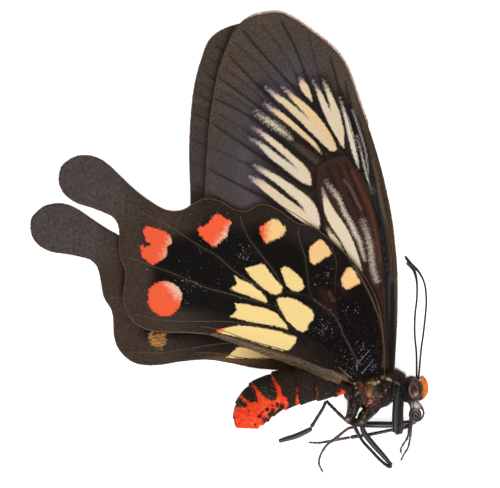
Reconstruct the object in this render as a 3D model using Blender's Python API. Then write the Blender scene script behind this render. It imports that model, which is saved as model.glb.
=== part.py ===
"""Swallowtail butterfly: a dried specimen with its wings closed, lying on its left side.

Metres, +Z up. The butterfly lies flat, so +X runs towards the head, +Y towards the wing
tips, and Z is its own left-to-right width, with the left hindwing on the surface below.
Outlines and routes are read from the photograph in its pixels, and PIXEL turns them into
real lengths. Widths, thicknesses and heights are real sizes in millimetres.
"""

import math

import bmesh
import bpy
from mathutils import Matrix, Vector
from mathutils.geometry import delaunay_2d_cdt

MM = 0.001

# Driving sizes
FOREWING_LENGTH = 56.6 * MM
FOREWING_PIXELS = 377.0
PIXEL = FOREWING_LENGTH / FOREWING_PIXELS
ORIGIN_PIXEL = (229.5, 242.7)
GAP = 0.32 * MM

# Wings: from below, left hindwing, left forewing, right forewing, right hindwing
MEMBRANE = 0.5 * MM
VEIN_RISE = 0.12 * MM
VEIN_HALF_WIDTH = 0.5 * MM
LAYER_STEP = 1.05 * MM
LOWEST_LAYER = MEMBRANE / 2
ROOT_LIFT_LEFT = 0.95 * MM
ROOT_LIFT_RIGHT = 1.75 * MM
ROOT_REACH = 12 * MM
ROOTS_PIXEL = (375.0, 371.0)
OUTLINE_STEP = 1.3 * MM
VEIN_STEP = 2.0 * MM
MEMBRANE_STEP = 3.2 * MM

FOREWING_ROOT = (390.0, 373.0)
FOREWING_FAR_TURN = math.radians(3.0)
FOREWING_DROOP = 1.0 * MM
FOREWING_DROOP_FROM = 4.0 * MM
FOREWING_DROOP_OVER = 18.0 * MM
FOREWING_EDGE = [
    (392, 378), (395, 350), (396.5, 319), (396.5, 271), (394, 242), (391, 217), (383, 179),
    (373, 143), (360, 105), (346, 67), (332, 48), (312, 32), (293, 19), (277, 13), (255, 16),
    (238, 26), (228, 45), (220, 67), (215, 89), (210.5, 118), (208, 143), (206.6, 172),
    (205.5, 199), (209, 217), (230, 240), (275, 279), (325, 324), (362, 360), (382, 382),
]
FOREWING_VEINS = {
    "subcosta": [(391, 368), (392.5, 320), (392.5, 268), (388, 222), (381, 185)],
    "radius": [(388, 368), (387, 320), (384, 268), (380, 225), (374, 199), (364, 176), (347, 155)],
    "radius_1": [(380, 225), (375, 185), (366, 148), (359, 118)],
    "radius_2": [(374, 199), (364, 160), (353, 115), (345, 82)],
    "radius_3": [(364, 176), (352, 135), (341, 95), (330, 58)],
    "radius_4": [(347, 155), (330, 128), (318, 109), (309, 85), (296, 50), (281, 21)],
    "radius_5": [(318, 109), (298, 92), (268, 60), (243, 31)],
    "media_1": [(335, 156), (298, 126), (262, 90), (229, 56)],
    "media_2": [(327, 159), (289, 134), (262, 110), (240, 93), (219, 78)],
    "media_3": [(316, 167), (278, 138), (257, 122), (236, 109), (215, 99)],
    "cubitus_1": [(315, 193), (270, 163), (236, 140), (213, 124)],
    "cubitus_2": [(323, 234), (290, 211), (254, 193), (216, 173), (209, 169)],
    "cell_rear": [(386, 368), (364, 325), (340, 278), (323, 234), (321, 214), (315, 193), (316, 167)],
    "cell_end": [(347, 155), (335, 156), (327, 159), (316, 167)],
    "anal": [(383, 372), (350, 338), (300, 290), (250, 246), (209, 212)],
}

HINDWING_ROOT = (357.0, 372.0)
HINDWING_FAR_TURN = math.radians(9.6)
HINDWING_DROOP = 2.0 * MM
HINDWING_DROOP_FROM = 6.5 * MM
HINDWING_DROOP_OVER = 13.0 * MM
HINDWING_ABDOMEN_PIXEL = (327.0, 376.0)
HINDWING_ABDOMEN_LIFT = 1.5 * MM
HINDWING_ABDOMEN_REACH = 3.6 * MM
HINDWING_EDGE = [
    (344, 379.5), (360, 384), (380, 381), (384, 367), (383, 338), (378, 306), (367, 281), (349, 258),
    (332, 242), (319, 231), (309, 226), (297, 223), (281, 212), (268, 205.5), (258, 205.5),
    (246, 211.5), (234, 209.5), (220, 201.5), (207, 199), (195, 203), (185, 209.5), (174, 211.4),
    (163, 209), (148, 200), (135, 190), (122, 178), (109, 165.5), (99, 159), (89, 156), (77, 156.6),
    (68.5, 161), (62, 167), (59.5, 177), (60.5, 186), (66, 195), (77, 202.5), (91, 207), (104, 212),
    (113, 216.5), (118.5, 224), (120, 234), (120, 248), (121, 258), (125.5, 269), (126, 279),
    (124, 297), (127, 311), (136, 323), (148, 329), (164, 331.6), (189, 332), (212, 334.5),
    (235, 342), (259, 351), (300, 362), (325, 371.5),
]
HINDWING_VEINS = {
    "subcosta": [(362, 366), (376, 348), (378, 326), (372, 300), (360, 277), (349, 262)],
    "radius": [(334, 316), (335.4, 304), (334.7, 283), (336, 262), (331, 246)],
    "media_1": [(311, 298), (308, 283), (305, 258), (299, 239), (298, 228)],
    "media_2": [(285, 291), (275, 273), (262, 256), (250, 240), (243, 226), (240, 215)],
    "media_3": [(277, 297), (253, 283), (233, 270), (216, 255), (200, 246), (170, 226.5),
                (145, 214), (122, 200.5), (98, 184), (78, 174)],
    "cubitus_1": [(276, 306), (252, 300), (225, 292.5), (202, 286), (175, 274), (154, 266.5), (126, 256.5)],
    "cubitus_2": [(300, 335), (280, 330), (260, 326), (240, 322.5), (220, 321), (192, 321), (164, 320), (134, 314)],
    "anal": [(350, 374), (322, 362), (285, 350), (250, 340), (222, 330), (200, 326)],
    "cell_front": [(356, 368), (347.6, 342), (334, 316), (311, 298), (303, 295), (285, 291)],
    "cell_rear": [(352, 370), (328, 351), (300, 335), (286, 321), (276, 306)],
    "cell_end": [(285, 291), (277, 297), (276, 306)],
}

# Body: sections as pixel centre, half height in pixels, and half width in millimetres
BODY_HEIGHT = 3.1 * MM
BODY_SIDES = 20
THORAX = [
    ((344.5, 388.5), 7.5, 1.2), ((349, 389.5), 12.5, 1.9), ((356, 391.5), 17.5, 2.6),
    ((365, 393), 21.5, 3.05), ((374, 393), 23.5, 3.2), ((383, 390.5), 21.0, 3.05),
    ((391, 386), 17.5, 2.5), ((397.5, 384), 13.0, 1.9), ((401.5, 384.5), 9.0, 1.3),
]
COXA_HIND = [(357, 392, 1.3, 1.25), (350.5, 407, 1.15, 0.8), (346.5, 420, 0.9, 0.45)]
COXA_MID = [(377, 402, 1.4, 1.3), (368, 413, 1.1, 0.85), (361.5, 422.5, 0.85, 0.45)]

ABDOMEN_HEIGHT = 3.3 * MM
ABDOMEN_SEGMENTS = 8
SEGMENT_SWELL = 0.035
ABDOMEN = [
    ((346, 388.5), 6.0, 1.0), ((340, 386), 10.5, 1.6), ((327, 383.5), 15.5, 2.0),
    ((311, 384), 17.4, 2.2), ((294, 386.5), 19.3, 2.2), ((276, 391.5), 20.3, 2.2),
    ((260, 400.5), 20.5, 2.2), ((251.5, 412), 18.8, 2.0), ((248, 421), 15.5, 1.7),
    ((247.5, 427.5), 11.0, 1.1),
]

HEAD_PIXEL = (411.5, 388.5)
HEAD_HALF = (1.15, 1.75, 1.35)
EYE_PIXEL = (413.5, 388.0)
EYE_HALF = (1.12, 1.62, 0.8)
EYE_OFFSET = 1.25
NECK_PIXEL = (405.0, 386.5)
NECK_HALF = (0.75, 1.1, 1.1)
PALP = [(417, 398.5), (421, 398), (424.4, 392), (424.2, 385), (421.8, 379.5)]
PALP_RADII = [0.3, 0.42, 0.5, 0.46, 0.28]
PALP_OFFSET = 0.72

PROBOSCIS_PIXEL = (415.5, 411.0)
PROBOSCIS_OUTER = 1.12
PROBOSCIS_INNER = 0.3
PROBOSCIS_TURNS = 1.3
PROBOSCIS_START = math.radians(78)
PROBOSCIS_RADIUS = 0.26
PROBOSCIS_STEPS = 30

ANTENNA_RADIUS = 0.26
CLUB_RADIUS = 0.34
CLUB_FROM = 0.86
ANTENNAE = {
    "antenna_right": [(417.2, 382, 3.7), (418.2, 374, 3.85), (419.2, 362, 4.05), (420.6, 347, 4.1), (422.5, 334, 4.0),
                      (425, 311, 3.8), (425.6, 298.5, 3.6), (424, 284, 3.4), (418.4, 272, 3.2),
                      (409.8, 263.3, 3.0), (404.3, 255.8, 2.9)],
    "antenna_left": [(415.6, 382, 2.5), (416.2, 374, 2.4), (416, 353, 2.3), (414.4, 335, 2.1), (414.6, 316, 2.0),
                     (416.5, 298.5, 1.9), (416.6, 283, 1.8), (414.5, 272.5, 1.7), (411, 266.8, 1.6),
                     (405.8, 262.6, 1.6)],
}

# Legs: each a chain of tapered lengths, as pixel x, pixel y, height above the floor in mm
LEGS = {
    "leg_fore_right": [
        ([(397.5, 385, 4.4), (395.5, 399, 4.2), (394.2, 416, 3.9), (394, 432, 3.6)], 0.33, 0.36),
        ([(394.5, 431.5, 3.55), (398.5, 431, 3.3), (401.5, 415, 3.0), (404.3, 401, 2.7)], 0.3, 0.27),
        ([(404.3, 401, 2.7), (408.6, 411, 2.35), (411.8, 420, 2.2), (410.8, 429, 1.9), (409.8, 438, 1.45),
          (408, 447, 1.0), (404, 454, 0.65), (400.9, 460.4, 0.4)], 0.25, 0.14),
    ],
    "leg_fore_left": [
        ([(399.5, 386, 2.4), (399.5, 401, 2.3), (399, 417, 2.25), (398.5, 431.5, 2.2)], 0.33, 0.36),
        ([(398.5, 431.5, 2.2), (402, 430, 2.0), (403.5, 414, 1.8), (405, 402, 1.65)], 0.3, 0.27),
        ([(405, 402, 1.65), (408.2, 411, 1.6), (410.2, 420, 1.6), (409, 429, 1.25), (407, 438, 0.85),
          (402.7, 445, 0.6), (400.6, 449.5, 0.45), (401, 453, 0.35)], 0.25, 0.14),
    ],
    "leg_mid_right": [
        ([(361.5, 424.5, 3.9), (364, 432.6, 3.7), (373, 444, 3.3), (382, 454, 3.0), (391.5, 465, 2.75)], 0.36, 0.33),
        ([(391.5, 465, 2.75), (388.5, 466, 2.75), (380.5, 460, 2.7), (370.5, 449.5, 2.8), (362, 441, 2.9),
          (352, 428.8, 3.0)], 0.27, 0.25),
        ([(352, 428.8, 3.0), (347.5, 428.6, 2.9), (336, 437.5, 2.3), (326.5, 445, 1.7), (320.4, 455, 1.2),
          (319, 464, 0.8), (323, 472, 0.45)], 0.26, 0.14),
    ],
    "leg_mid_left": [
        ([(365.5, 424, 0.85), (378, 424.2, 0.8), (390, 424.4, 0.75), (404, 423, 0.72), (416.5, 421, 0.72)], 0.42, 0.36),
        ([(416.5, 421, 0.72), (409, 425, 0.7), (405, 427.5, 0.7), (390, 430.2, 0.7), (370, 434.2, 0.75),
          (350, 437.2, 0.75)], 0.28, 0.27),
        ([(350, 437.2, 0.75), (331, 440.6, 0.65), (319, 442.7, 0.55), (308.8, 442.3, 0.4)], 0.26, 0.14),
    ],
    "leg_hind_right": [
        ([(347, 421, 4.0), (338, 412.5, 3.0), (326, 400.5, 1.8)], 0.26, 0.26),
        ([(326, 400.5, 1.8), (322.7, 408, 1.75), (316.6, 418, 1.65), (311, 427, 1.55)], 0.26, 0.28),
        ([(312, 428, 1.55), (303, 432.6, 1.5), (295, 436, 1.45), (286.5, 438.5, 1.4), (278.5, 441, 1.35)], 0.36, 0.38),
    ],
    "leg_hind_left": [
        ([(345.5, 410, 1.0), (336, 396, 0.5), (322, 388.5, 0.42)], 0.32, 0.3),
        ([(322, 388.5, 0.42), (302, 385, 0.38), (283, 386.5, 0.36)], 0.27, 0.26),
        ([(283, 386.5, 0.36), (268, 393, 0.34), (257, 404, 0.34)], 0.26, 0.16),
    ],
}


def at(pixel_x, pixel_y, height=0.0):
    """A place in the photograph as a point of the model."""
    return Vector(((pixel_x - ORIGIN_PIXEL[0]) * PIXEL, (ORIGIN_PIXEL[1] - pixel_y) * PIXEL, height))


def clear_scene():
    for obj in list(bpy.data.objects):
        bpy.data.objects.remove(obj, do_unlink=True)


def new_collection(name):
    collection = bpy.data.collections.new(name)
    bpy.context.scene.collection.children.link(collection)
    return collection


def new_object(name, mesh, collection):
    obj = bpy.data.objects.new(name, mesh)
    collection.objects.link(obj)
    return obj


def finish(name, colour, roughness, metallic=0.0):
    material = bpy.data.materials.new(name)
    material.use_nodes = True
    shader = material.node_tree.nodes["Principled BSDF"]
    shader.inputs["Base Color"].default_value = (*colour, 1.0)
    shader.inputs["Roughness"].default_value = roughness
    shader.inputs["Metallic"].default_value = metallic
    return material


def smooth_step(value):
    value = min(1.0, max(0.0, value))
    return value * value * (3.0 - 2.0 * value)


def curve_through(points, step, closed=False):
    """Points along a smooth curve through the given ones, which it keeps, about a step apart."""
    points = [Vector(point) for point in points]
    count = len(points)
    spans = count if closed else count - 1
    found = []
    for i in range(spans):
        start, end = points[i], points[(i + 1) % count]
        before = points[i - 1] if closed or i > 0 else start
        after = points[(i + 2) % count] if closed or i + 2 < count else end
        parts = max(1, round((end - start).length / step))
        for j in range(parts):
            t = j / parts
            found.append(
                0.5 * (2 * start + (end - before) * t + (2 * before - 5 * start + 4 * end - after) * t ** 2
                       + (3 * start - before - 3 * end + after) * t ** 3)
            )
    if not closed:
        found.append(points[-1])
    return found


def distance_to_line(point, line):
    """The shortest distance from a flat point to a run of straight lengths."""
    best = math.inf
    for start, end in zip(line, line[1:]):
        along = end - start
        share = (point - start).dot(along) / max(along.length_squared, 1e-18)
        best = min(best, (point - start - along * min(1.0, max(0.0, share))).length)
    return best


def inside(point, edge):
    found = False
    for start, end in zip(edge, edge[1:] + edge[:1]):
        if (start.y > point.y) != (end.y > point.y):
            if point.x < start.x + (point.y - start.y) * (end.x - start.x) / (end.y - start.y):
                found = not found
    return found


def on_wing(pixels, root, turn):
    """Pixels of the near wing as flat points of the model, turned about the wing's root."""
    pivot = at(*root).to_2d()
    spin = Matrix.Rotation(turn, 2)
    return [pivot + spin @ (at(*pixel).to_2d() - pivot) for pixel in pixels]


def wing_height(point, layer, root_lift):
    """The middle of a wing's membrane: its layer of the stack, rising to the wing bases."""
    away = (point - at(*ROOTS_PIXEL).to_2d()).length
    return LOWEST_LAYER + layer * LAYER_STEP + root_lift * (1.0 - smooth_step(away / ROOT_REACH))


def forewing_height(layer, root_lift):
    def height(point):
        droop = FOREWING_DROOP * smooth_step((point.y - FOREWING_DROOP_FROM) / FOREWING_DROOP_OVER)
        return wing_height(point, layer, root_lift) - droop

    return height


def hindwing_right_height(point):
    droop = HINDWING_DROOP * smooth_step((-point.x - HINDWING_DROOP_FROM) / HINDWING_DROOP_OVER)
    near = (point - at(*HINDWING_ABDOMEN_PIXEL).to_2d()).length / HINDWING_ABDOMEN_REACH
    over_abdomen = HINDWING_ABDOMEN_LIFT * math.exp(-near * near)
    return wing_height(point, 3, ROOT_LIFT_RIGHT) - droop + over_abdomen


def hindwing_left_height(point):
    return wing_height(point, 0, ROOT_LIFT_LEFT)


def wing_points(edge, veins):
    """Flat points of the membrane: its edge, its veins with both their feet, and a spread between."""
    points = list(edge)
    links = []
    for vein in veins:
        first = len(points)
        points.extend(vein)
        links.extend((first + i, first + i + 1) for i in range(len(vein) - 1))
    rim = edge + edge[:1]
    extra = []

    def add(point, clear_of_vein, clear_of_rim):
        if inside(point, edge) and distance_to_line(point, rim) > clear_of_rim:
            if all(distance_to_line(point, vein) > clear_of_vein for vein in veins):
                extra.append(point)

    for vein in veins:
        for start, end in zip(vein, vein[1:]):
            side = (end - start).orthogonal().normalized() * VEIN_HALF_WIDTH
            for foot in ((start + end) / 2 + side, (start + end) / 2 - side):
                add(foot, 0.9 * VEIN_HALF_WIDTH, 0.5 * VEIN_HALF_WIDTH)
    low = Vector((min(p.x for p in edge), min(p.y for p in edge)))
    high = Vector((max(p.x for p in edge), max(p.y for p in edge)))
    rows = int((high.y - low.y) / MEMBRANE_STEP) + 1
    columns = int((high.x - low.x) / MEMBRANE_STEP) + 1
    for row in range(rows):
        for column in range(columns):
            shift = 0.5 * (row % 2)
            place = low + Vector(((column + shift) * MEMBRANE_STEP, (row + 0.5) * MEMBRANE_STEP))
            add(place, 0.45 * MEMBRANE_STEP, 0.35 * MEMBRANE_STEP)
    return points + extra, links


def make_wing(name, pixels, vein_pixels, root, turn, height, cutters, collection, material):
    """A membrane split alike on both faces, its veins raised, and cut clear of the body."""
    edge = curve_through(on_wing(pixels, root, turn), OUTLINE_STEP, closed=True)
    if sum(a.cross(b) for a, b in zip(edge, edge[1:] + edge[:1])) < 0:
        edge.reverse()
    veins = [curve_through(on_wing(vein, root, turn), VEIN_STEP) for vein in vein_pixels.values()]
    points, links = wing_points(edge, veins)
    spread, _, faces, *_ = delaunay_2d_cdt(points, links, [list(range(len(edge)))], 1, 1e-6)
    bm = bmesh.new()
    verts = [bm.verts.new((point.x, point.y, 0.0)) for point in spread]
    for face in faces:
        bm.faces.new([verts[i] for i in face])
    grown = bmesh.ops.extrude_face_region(bm, geom=bm.faces[:], use_keep_orig=True)
    upper = {item for item in grown["geom"] if isinstance(item, bmesh.types.BMVert)}
    for vert in bm.verts:
        place = vert.co.to_2d()
        near_vein = min((distance_to_line(place, vein) for vein in veins), default=VEIN_HALF_WIDTH)
        half = MEMBRANE / 2 + VEIN_RISE * max(0.0, 1.0 - near_vein / VEIN_HALF_WIDTH)
        middle = height(place)
        vert.co.z = middle + half if vert in upper else max(0.0, middle - half)
    bmesh.ops.recalc_face_normals(bm, faces=bm.faces)
    mesh = bpy.data.meshes.new(name)
    bm.to_mesh(mesh)
    bm.free()
    wing = new_object(name, mesh, collection)
    mesh.materials.append(material)
    cut_clear(wing, cutters)
    return wing


def cut_clear(obj, cutters):
    """Takes the cutters' shapes out of the object and keeps its largest piece."""
    for cutter in cutters:
        cut = obj.modifiers.new("clear_of_" + cutter.name, "BOOLEAN")
        cut.operation = "DIFFERENCE"
        cut.object = cutter
    apply_shape(obj)


def apply_shape(obj):
    """Applies the modifiers and keeps the largest closed surface."""
    bpy.context.view_layer.update()
    graph = bpy.context.evaluated_depsgraph_get()
    mesh = bpy.data.meshes.new_from_object(obj.evaluated_get(graph))
    obj.modifiers.clear()
    obj.data = mesh
    bm = bmesh.new()
    bm.from_mesh(mesh)
    bmesh.ops.remove_doubles(bm, verts=bm.verts, dist=1e-7)
    drop = set(bm.verts) - largest_piece(bm)
    bmesh.ops.delete(bm, geom=list(drop), context="VERTS")
    bm.to_mesh(mesh)
    bm.free()


def largest_piece(bm):
    """The vertices of the connected piece that has the most of them."""
    left = set(bm.verts)
    best = set()
    while left:
        piece = {left.pop()}
        edge_of_piece = list(piece)
        while edge_of_piece:
            vert = edge_of_piece.pop()
            for edge in vert.link_edges:
                other = edge.other_vert(vert)
                if other not in piece:
                    piece.add(other)
                    edge_of_piece.append(other)
        left -= piece
        if len(piece) > len(best):
            best = piece
    return best


def tube(name, points, radii, collection):
    """A tube with closed ends whose radius runs through the given ones along its length."""
    curve = bpy.data.curves.new(name, "CURVE")
    curve.dimensions = "3D"
    curve.bevel_depth = 1.0
    curve.bevel_resolution = 2
    curve.use_fill_caps = True
    spline = curve.splines.new("POLY")
    spline.points.add(len(points) - 1)
    for i, (target, point) in enumerate(zip(spline.points, points)):
        target.co = (*point, 1.0)
        place = i / (len(points) - 1) * (len(radii) - 1)
        low = min(int(place), len(radii) - 2)
        target.radius = radii[low] + (radii[low + 1] - radii[low]) * (place - low)
    obj = new_object(name, curve, collection)
    bpy.context.view_layer.update()
    graph = bpy.context.evaluated_depsgraph_get()
    mesh = bpy.data.meshes.new_from_object(obj.evaluated_get(graph))
    bpy.data.objects.remove(obj, do_unlink=True)
    bm = bmesh.new()
    bm.from_mesh(mesh)
    bmesh.ops.remove_doubles(bm, verts=bm.verts, dist=1e-7)
    bmesh.ops.recalc_face_normals(bm, faces=bm.faces)
    bm.to_mesh(mesh)
    bm.free()
    return new_object(name, mesh, collection)


def loft(name, sections, height, extra, collection, sides=BODY_SIDES):
    """A closed body through elliptical sections square to its length, flat where it meets the floor."""
    bm = bmesh.new()
    rings = []
    centres = [at(*pixel, height) for pixel, _, _ in sections]
    first_way = (centres[0] - centres[1]).normalized()
    last_way = (centres[-1] - centres[-2]).normalized()
    for i, (_, half_height, half_width) in enumerate(sections):
        before, after = centres[max(0, i - 1)], centres[min(len(centres) - 1, i + 1)]
        along = (after - before).normalized()
        across = Vector((-along.y, along.x, 0.0))
        centre = centres[i]
        centre = centre + extra * (first_way if i == 0 else last_way if i == len(sections) - 1 else Vector())
        ring = []
        for j in range(sides):
            turn = math.tau * (j + 0.5) / sides
            flat = across * (half_height * PIXEL + extra) * math.cos(turn)
            up = (half_width * MM + extra) * math.sin(turn)
            ring.append(bm.verts.new(centre + flat + Vector((0.0, 0.0, up))))
        rings.append(ring)
    for ring, after in zip(rings, rings[1:]):
        for j in range(sides):
            k = (j + 1) % sides
            bm.faces.new((ring[j], ring[k], after[k], after[j]))
    for ring, way in ((rings[0], first_way), (rings[-1], last_way)):
        middle = sum((vert.co for vert in ring), Vector()) / sides
        reach = (ring[0].co - middle).length * 0.5
        pole = bm.verts.new(middle + way * reach)
        for j in range(sides):
            bm.faces.new((ring[j], ring[(j + 1) % sides], pole))
    if not extra:
        for vert in bm.verts:
            vert.co.z = max(0.0, vert.co.z)
    bmesh.ops.recalc_face_normals(bm, faces=bm.faces)
    mesh = bpy.data.meshes.new(name)
    bm.to_mesh(mesh)
    bm.free()
    return new_object(name, mesh, collection)


def ellipsoid(name, centre, halves, extra, collection):
    bm = bmesh.new()
    bmesh.ops.create_uvsphere(bm, u_segments=18, v_segments=12, radius=1.0)
    for vert in bm.verts:
        for axis in range(3):
            vert.co[axis] = centre[axis] + vert.co[axis] * (halves[axis] * MM + extra)
    mesh = bpy.data.meshes.new(name)
    bm.to_mesh(mesh)
    bm.free()
    return new_object(name, mesh, collection)


def join(name, pieces, collection):
    """One closed solid from overlapping pieces, which are then removed."""
    first, *rest = pieces
    helpers = bpy.data.collections.new(name + "_pieces")
    bpy.context.scene.collection.children.link(helpers)
    for piece in rest:
        helpers.objects.link(piece)
    if rest:
        union = first.modifiers.new("union", "BOOLEAN")
        union.operation = "UNION"
        union.operand_type = "COLLECTION"
        union.collection = helpers
    apply_shape(first)
    for piece in rest:
        bpy.data.objects.remove(piece, do_unlink=True)
    bpy.data.collections.remove(helpers)
    for holder in list(first.users_collection):
        holder.objects.unlink(first)
    collection.objects.link(first)
    first.name = name
    return first


def make_thorax(name, extra, collection):
    """The thorax with the bases of its middle and hind legs, or its shape grown by a clearance."""
    pieces = [loft(name + "_trunk", THORAX, BODY_HEIGHT, extra, collection)]
    for label, coxa in (("hind", COXA_HIND), ("mid", COXA_MID)):
        for side in (1, -1):
            points = [at(x, y, BODY_HEIGHT + side * offset * MM) for x, y, offset, _ in coxa]
            points[-1] += (points[-1] - points[-2]).normalized() * extra
            radii = [radius * MM + extra for *_, radius in coxa]
            line = curve_through(points, 1.2 * MM)
            pieces.append(tube(f"{name}_{label}_{side}", line, radii, collection))
    return join(name, pieces, collection)


def abdomen_sections():
    """The abdomen's sections, spread evenly and swelling a little in the middle of each segment."""
    flat = curve_through([(x, y, half_height) for (x, y), half_height, _ in ABDOMEN], 1000.0)
    widths = [width for *_, width in ABDOMEN]
    rings_each = 3
    count = ABDOMEN_SEGMENTS * rings_each
    sections = []
    for i in range(count + 1):
        place = i / count * (len(flat) - 1)
        low = min(int(place), len(flat) - 2)
        share = place - low
        x, y, half_height = flat[low].lerp(flat[low + 1], share)
        width = widths[low] + (widths[low + 1] - widths[low]) * share
        swell = 1.0 + SEGMENT_SWELL * (1.0 if i % rings_each else -1.0)
        sections.append(((x, y), half_height * swell, width * swell))
    return sections


def make_head(name, extra, collection):
    """The head with its neck, or its shape grown by a clearance."""
    pieces = [
        ellipsoid(name + "_core", at(*HEAD_PIXEL, BODY_HEIGHT), HEAD_HALF, extra, collection),
        ellipsoid(name + "_neck", at(*NECK_PIXEL, BODY_HEIGHT), NECK_HALF, extra, collection),
    ]
    return join(name, pieces, collection)


def eye_place(side):
    return at(*EYE_PIXEL, BODY_HEIGHT + side * EYE_OFFSET * MM)


def make_palp(name, side, cutters, collection, material):
    """One of the two hairy feelers that stand up in front of the face."""
    height = BODY_HEIGHT + side * PALP_OFFSET * MM
    line = curve_through([at(x, y, height) for x, y in PALP], 0.7 * MM)
    palp = tube(name, line, [radius * MM for radius in PALP_RADII], collection)
    palp.data.materials.append(material)
    cut_clear(palp, cutters)
    return palp


def make_proboscis(cutters, collection, material):
    """The sucking tube, wound in a flat coil below the face."""
    centre = at(*PROBOSCIS_PIXEL, BODY_HEIGHT)
    points = []
    for i in range(PROBOSCIS_STEPS + 1):
        share = i / PROBOSCIS_STEPS
        turn = PROBOSCIS_START - math.tau * PROBOSCIS_TURNS * share
        reach = (PROBOSCIS_OUTER + (PROBOSCIS_INNER - PROBOSCIS_OUTER) * share) * MM
        points.append(centre + Vector((math.cos(turn), math.sin(turn), 0.0)) * reach)
    proboscis = tube("proboscis", points, [PROBOSCIS_RADIUS * MM, PROBOSCIS_RADIUS * MM], collection)
    proboscis.data.materials.append(material)
    cut_clear(proboscis, cutters)
    return proboscis


def make_antenna(name, route, cutters, collection, material):
    line = curve_through([at(x, y, height * MM) for x, y, height in route], 1.6 * MM)
    radii = []
    for i in range(len(line)):
        share = i / (len(line) - 1)
        club = smooth_step((share - CLUB_FROM + 0.12) / 0.12) * smooth_step((1.02 - share) / 0.06)
        radii.append((ANTENNA_RADIUS + (CLUB_RADIUS - ANTENNA_RADIUS) * club) * MM)
    antenna = tube(name, line, radii, collection)
    antenna.data.materials.append(material)
    cut_clear(antenna, cutters)
    return antenna


def make_leg(name, lengths, cutters, collection, material):
    pieces = []
    for i, (route, start, end) in enumerate(lengths):
        line = curve_through([at(x, y, height * MM) for x, y, height in route], 1.3 * MM)
        pieces.append(tube(f"{name}_{i}", line, [start * MM, end * MM], collection))
    leg = join(name, pieces, collection)
    leg.data.materials.clear()
    leg.data.materials.append(material)
    cut_clear(leg, cutters)
    return leg


def main():
    clear_scene()
    parts = new_collection("swallowtail_butterfly")
    cutters = new_collection("cutters")
    wing_finish = finish("wing_scales", (0.035, 0.027, 0.024), 0.6)
    body_finish = finish("body_cuticle", (0.09, 0.04, 0.02), 0.45)
    abdomen_finish = finish("abdomen_scales", (0.45, 0.05, 0.02), 0.55)
    eye_finish = finish("eye", (0.05, 0.015, 0.01), 0.12)
    leg_finish = finish("leg_cuticle", (0.03, 0.025, 0.022), 0.5)
    palp_finish = finish("palp_hair", (0.9, 0.25, 0.03), 0.8)
    proboscis_finish = finish("proboscis", (0.12, 0.1, 0.09), 0.3)

    thorax = make_thorax("thorax", 0.0, parts)
    thorax.data.materials.clear()
    thorax.data.materials.append(body_finish)
    thorax_room = make_thorax("thorax_room", GAP, cutters)
    abdomen_room = loft("abdomen_room", abdomen_sections(), ABDOMEN_HEIGHT, GAP, cutters)
    body_rooms = [thorax_room, abdomen_room]

    eye_rooms = []
    for side, name in ((1, "eye_right"), (-1, "eye_left")):
        eye = ellipsoid(name, eye_place(side), EYE_HALF, 0.0, parts)
        eye.data.materials.append(eye_finish)
        eye_rooms.append(ellipsoid(name + "_room", eye_place(side), EYE_HALF, GAP / 2, cutters))
    head = make_head("head", 0.0, parts)
    head.data.materials.clear()
    head.data.materials.append(body_finish)
    cut_clear(head, [thorax_room, *eye_rooms])
    face_rooms = [make_head("head_room", GAP, cutters), *eye_rooms]

    abdomen = loft("abdomen", abdomen_sections(), ABDOMEN_HEIGHT, 0.0, parts)
    abdomen.data.materials.append(abdomen_finish)
    cut_clear(abdomen, [thorax_room])

    wings = (
        ("forewing_left", FOREWING_EDGE, FOREWING_VEINS, FOREWING_ROOT, FOREWING_FAR_TURN,
         forewing_height(1, ROOT_LIFT_LEFT)),
        ("forewing_right", FOREWING_EDGE, FOREWING_VEINS, FOREWING_ROOT, 0.0,
         forewing_height(2, ROOT_LIFT_RIGHT)),
        ("hindwing_left", HINDWING_EDGE, HINDWING_VEINS, HINDWING_ROOT, HINDWING_FAR_TURN,
         hindwing_left_height),
        ("hindwing_right", HINDWING_EDGE, HINDWING_VEINS, HINDWING_ROOT, 0.0,
         hindwing_right_height),
    )
    for name, edge, veins, root, turn, height in wings:
        make_wing(name, edge, veins, root, turn, height, body_rooms, parts, wing_finish)

    for side, name in ((1, "palp_right"), (-1, "palp_left")):
        make_palp(name, side, face_rooms, parts, palp_finish)
    make_proboscis(face_rooms, parts, proboscis_finish)
    for name, route in ANTENNAE.items():
        make_antenna(name, route, face_rooms, parts, leg_finish)
    for name, lengths in LEGS.items():
        make_leg(name, lengths, [thorax_room], parts, leg_finish)

    for cutter in cutters.objects:
        cutter.hide_render = True
        cutter.display_type = "WIRE"
    for part in parts.objects:
        part.data.shade_smooth()
        part.data.set_sharp_from_angle(angle=math.radians(40))


main()
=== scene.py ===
"""Looks of a dried swallowtail butterfly that lies on its left side with its wings closed.

Metres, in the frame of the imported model: +X towards the head, +Y towards the wing tips, +Z up.
Outlines, veins, markings and routes are read from the photograph in its pixels, and PIXEL
turns them into real lengths. Heights, widths and thicknesses are real sizes.
"""

import math

import bmesh
import bpy
import numpy as np
from bpy.props import FloatProperty, FloatVectorProperty, IntProperty, PointerProperty
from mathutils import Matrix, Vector, noise


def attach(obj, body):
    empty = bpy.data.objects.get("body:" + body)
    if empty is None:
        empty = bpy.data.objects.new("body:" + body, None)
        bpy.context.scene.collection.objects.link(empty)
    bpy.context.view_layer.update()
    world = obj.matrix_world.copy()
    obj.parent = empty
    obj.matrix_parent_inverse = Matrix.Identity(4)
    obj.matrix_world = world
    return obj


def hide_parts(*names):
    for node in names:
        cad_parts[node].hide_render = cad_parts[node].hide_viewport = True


bl_info = {
    "name": "Dried swallowtail butterfly",
    "version": (1, 0, 0),
    "blender": (4, 5, 0),
    "location": "View3D > Sidebar > Butterfly",
    "description": "Dresses the packed butterfly: wings, body, coat, eyes, feelers, legs and stage",
    "category": "Add Mesh",
}

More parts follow.
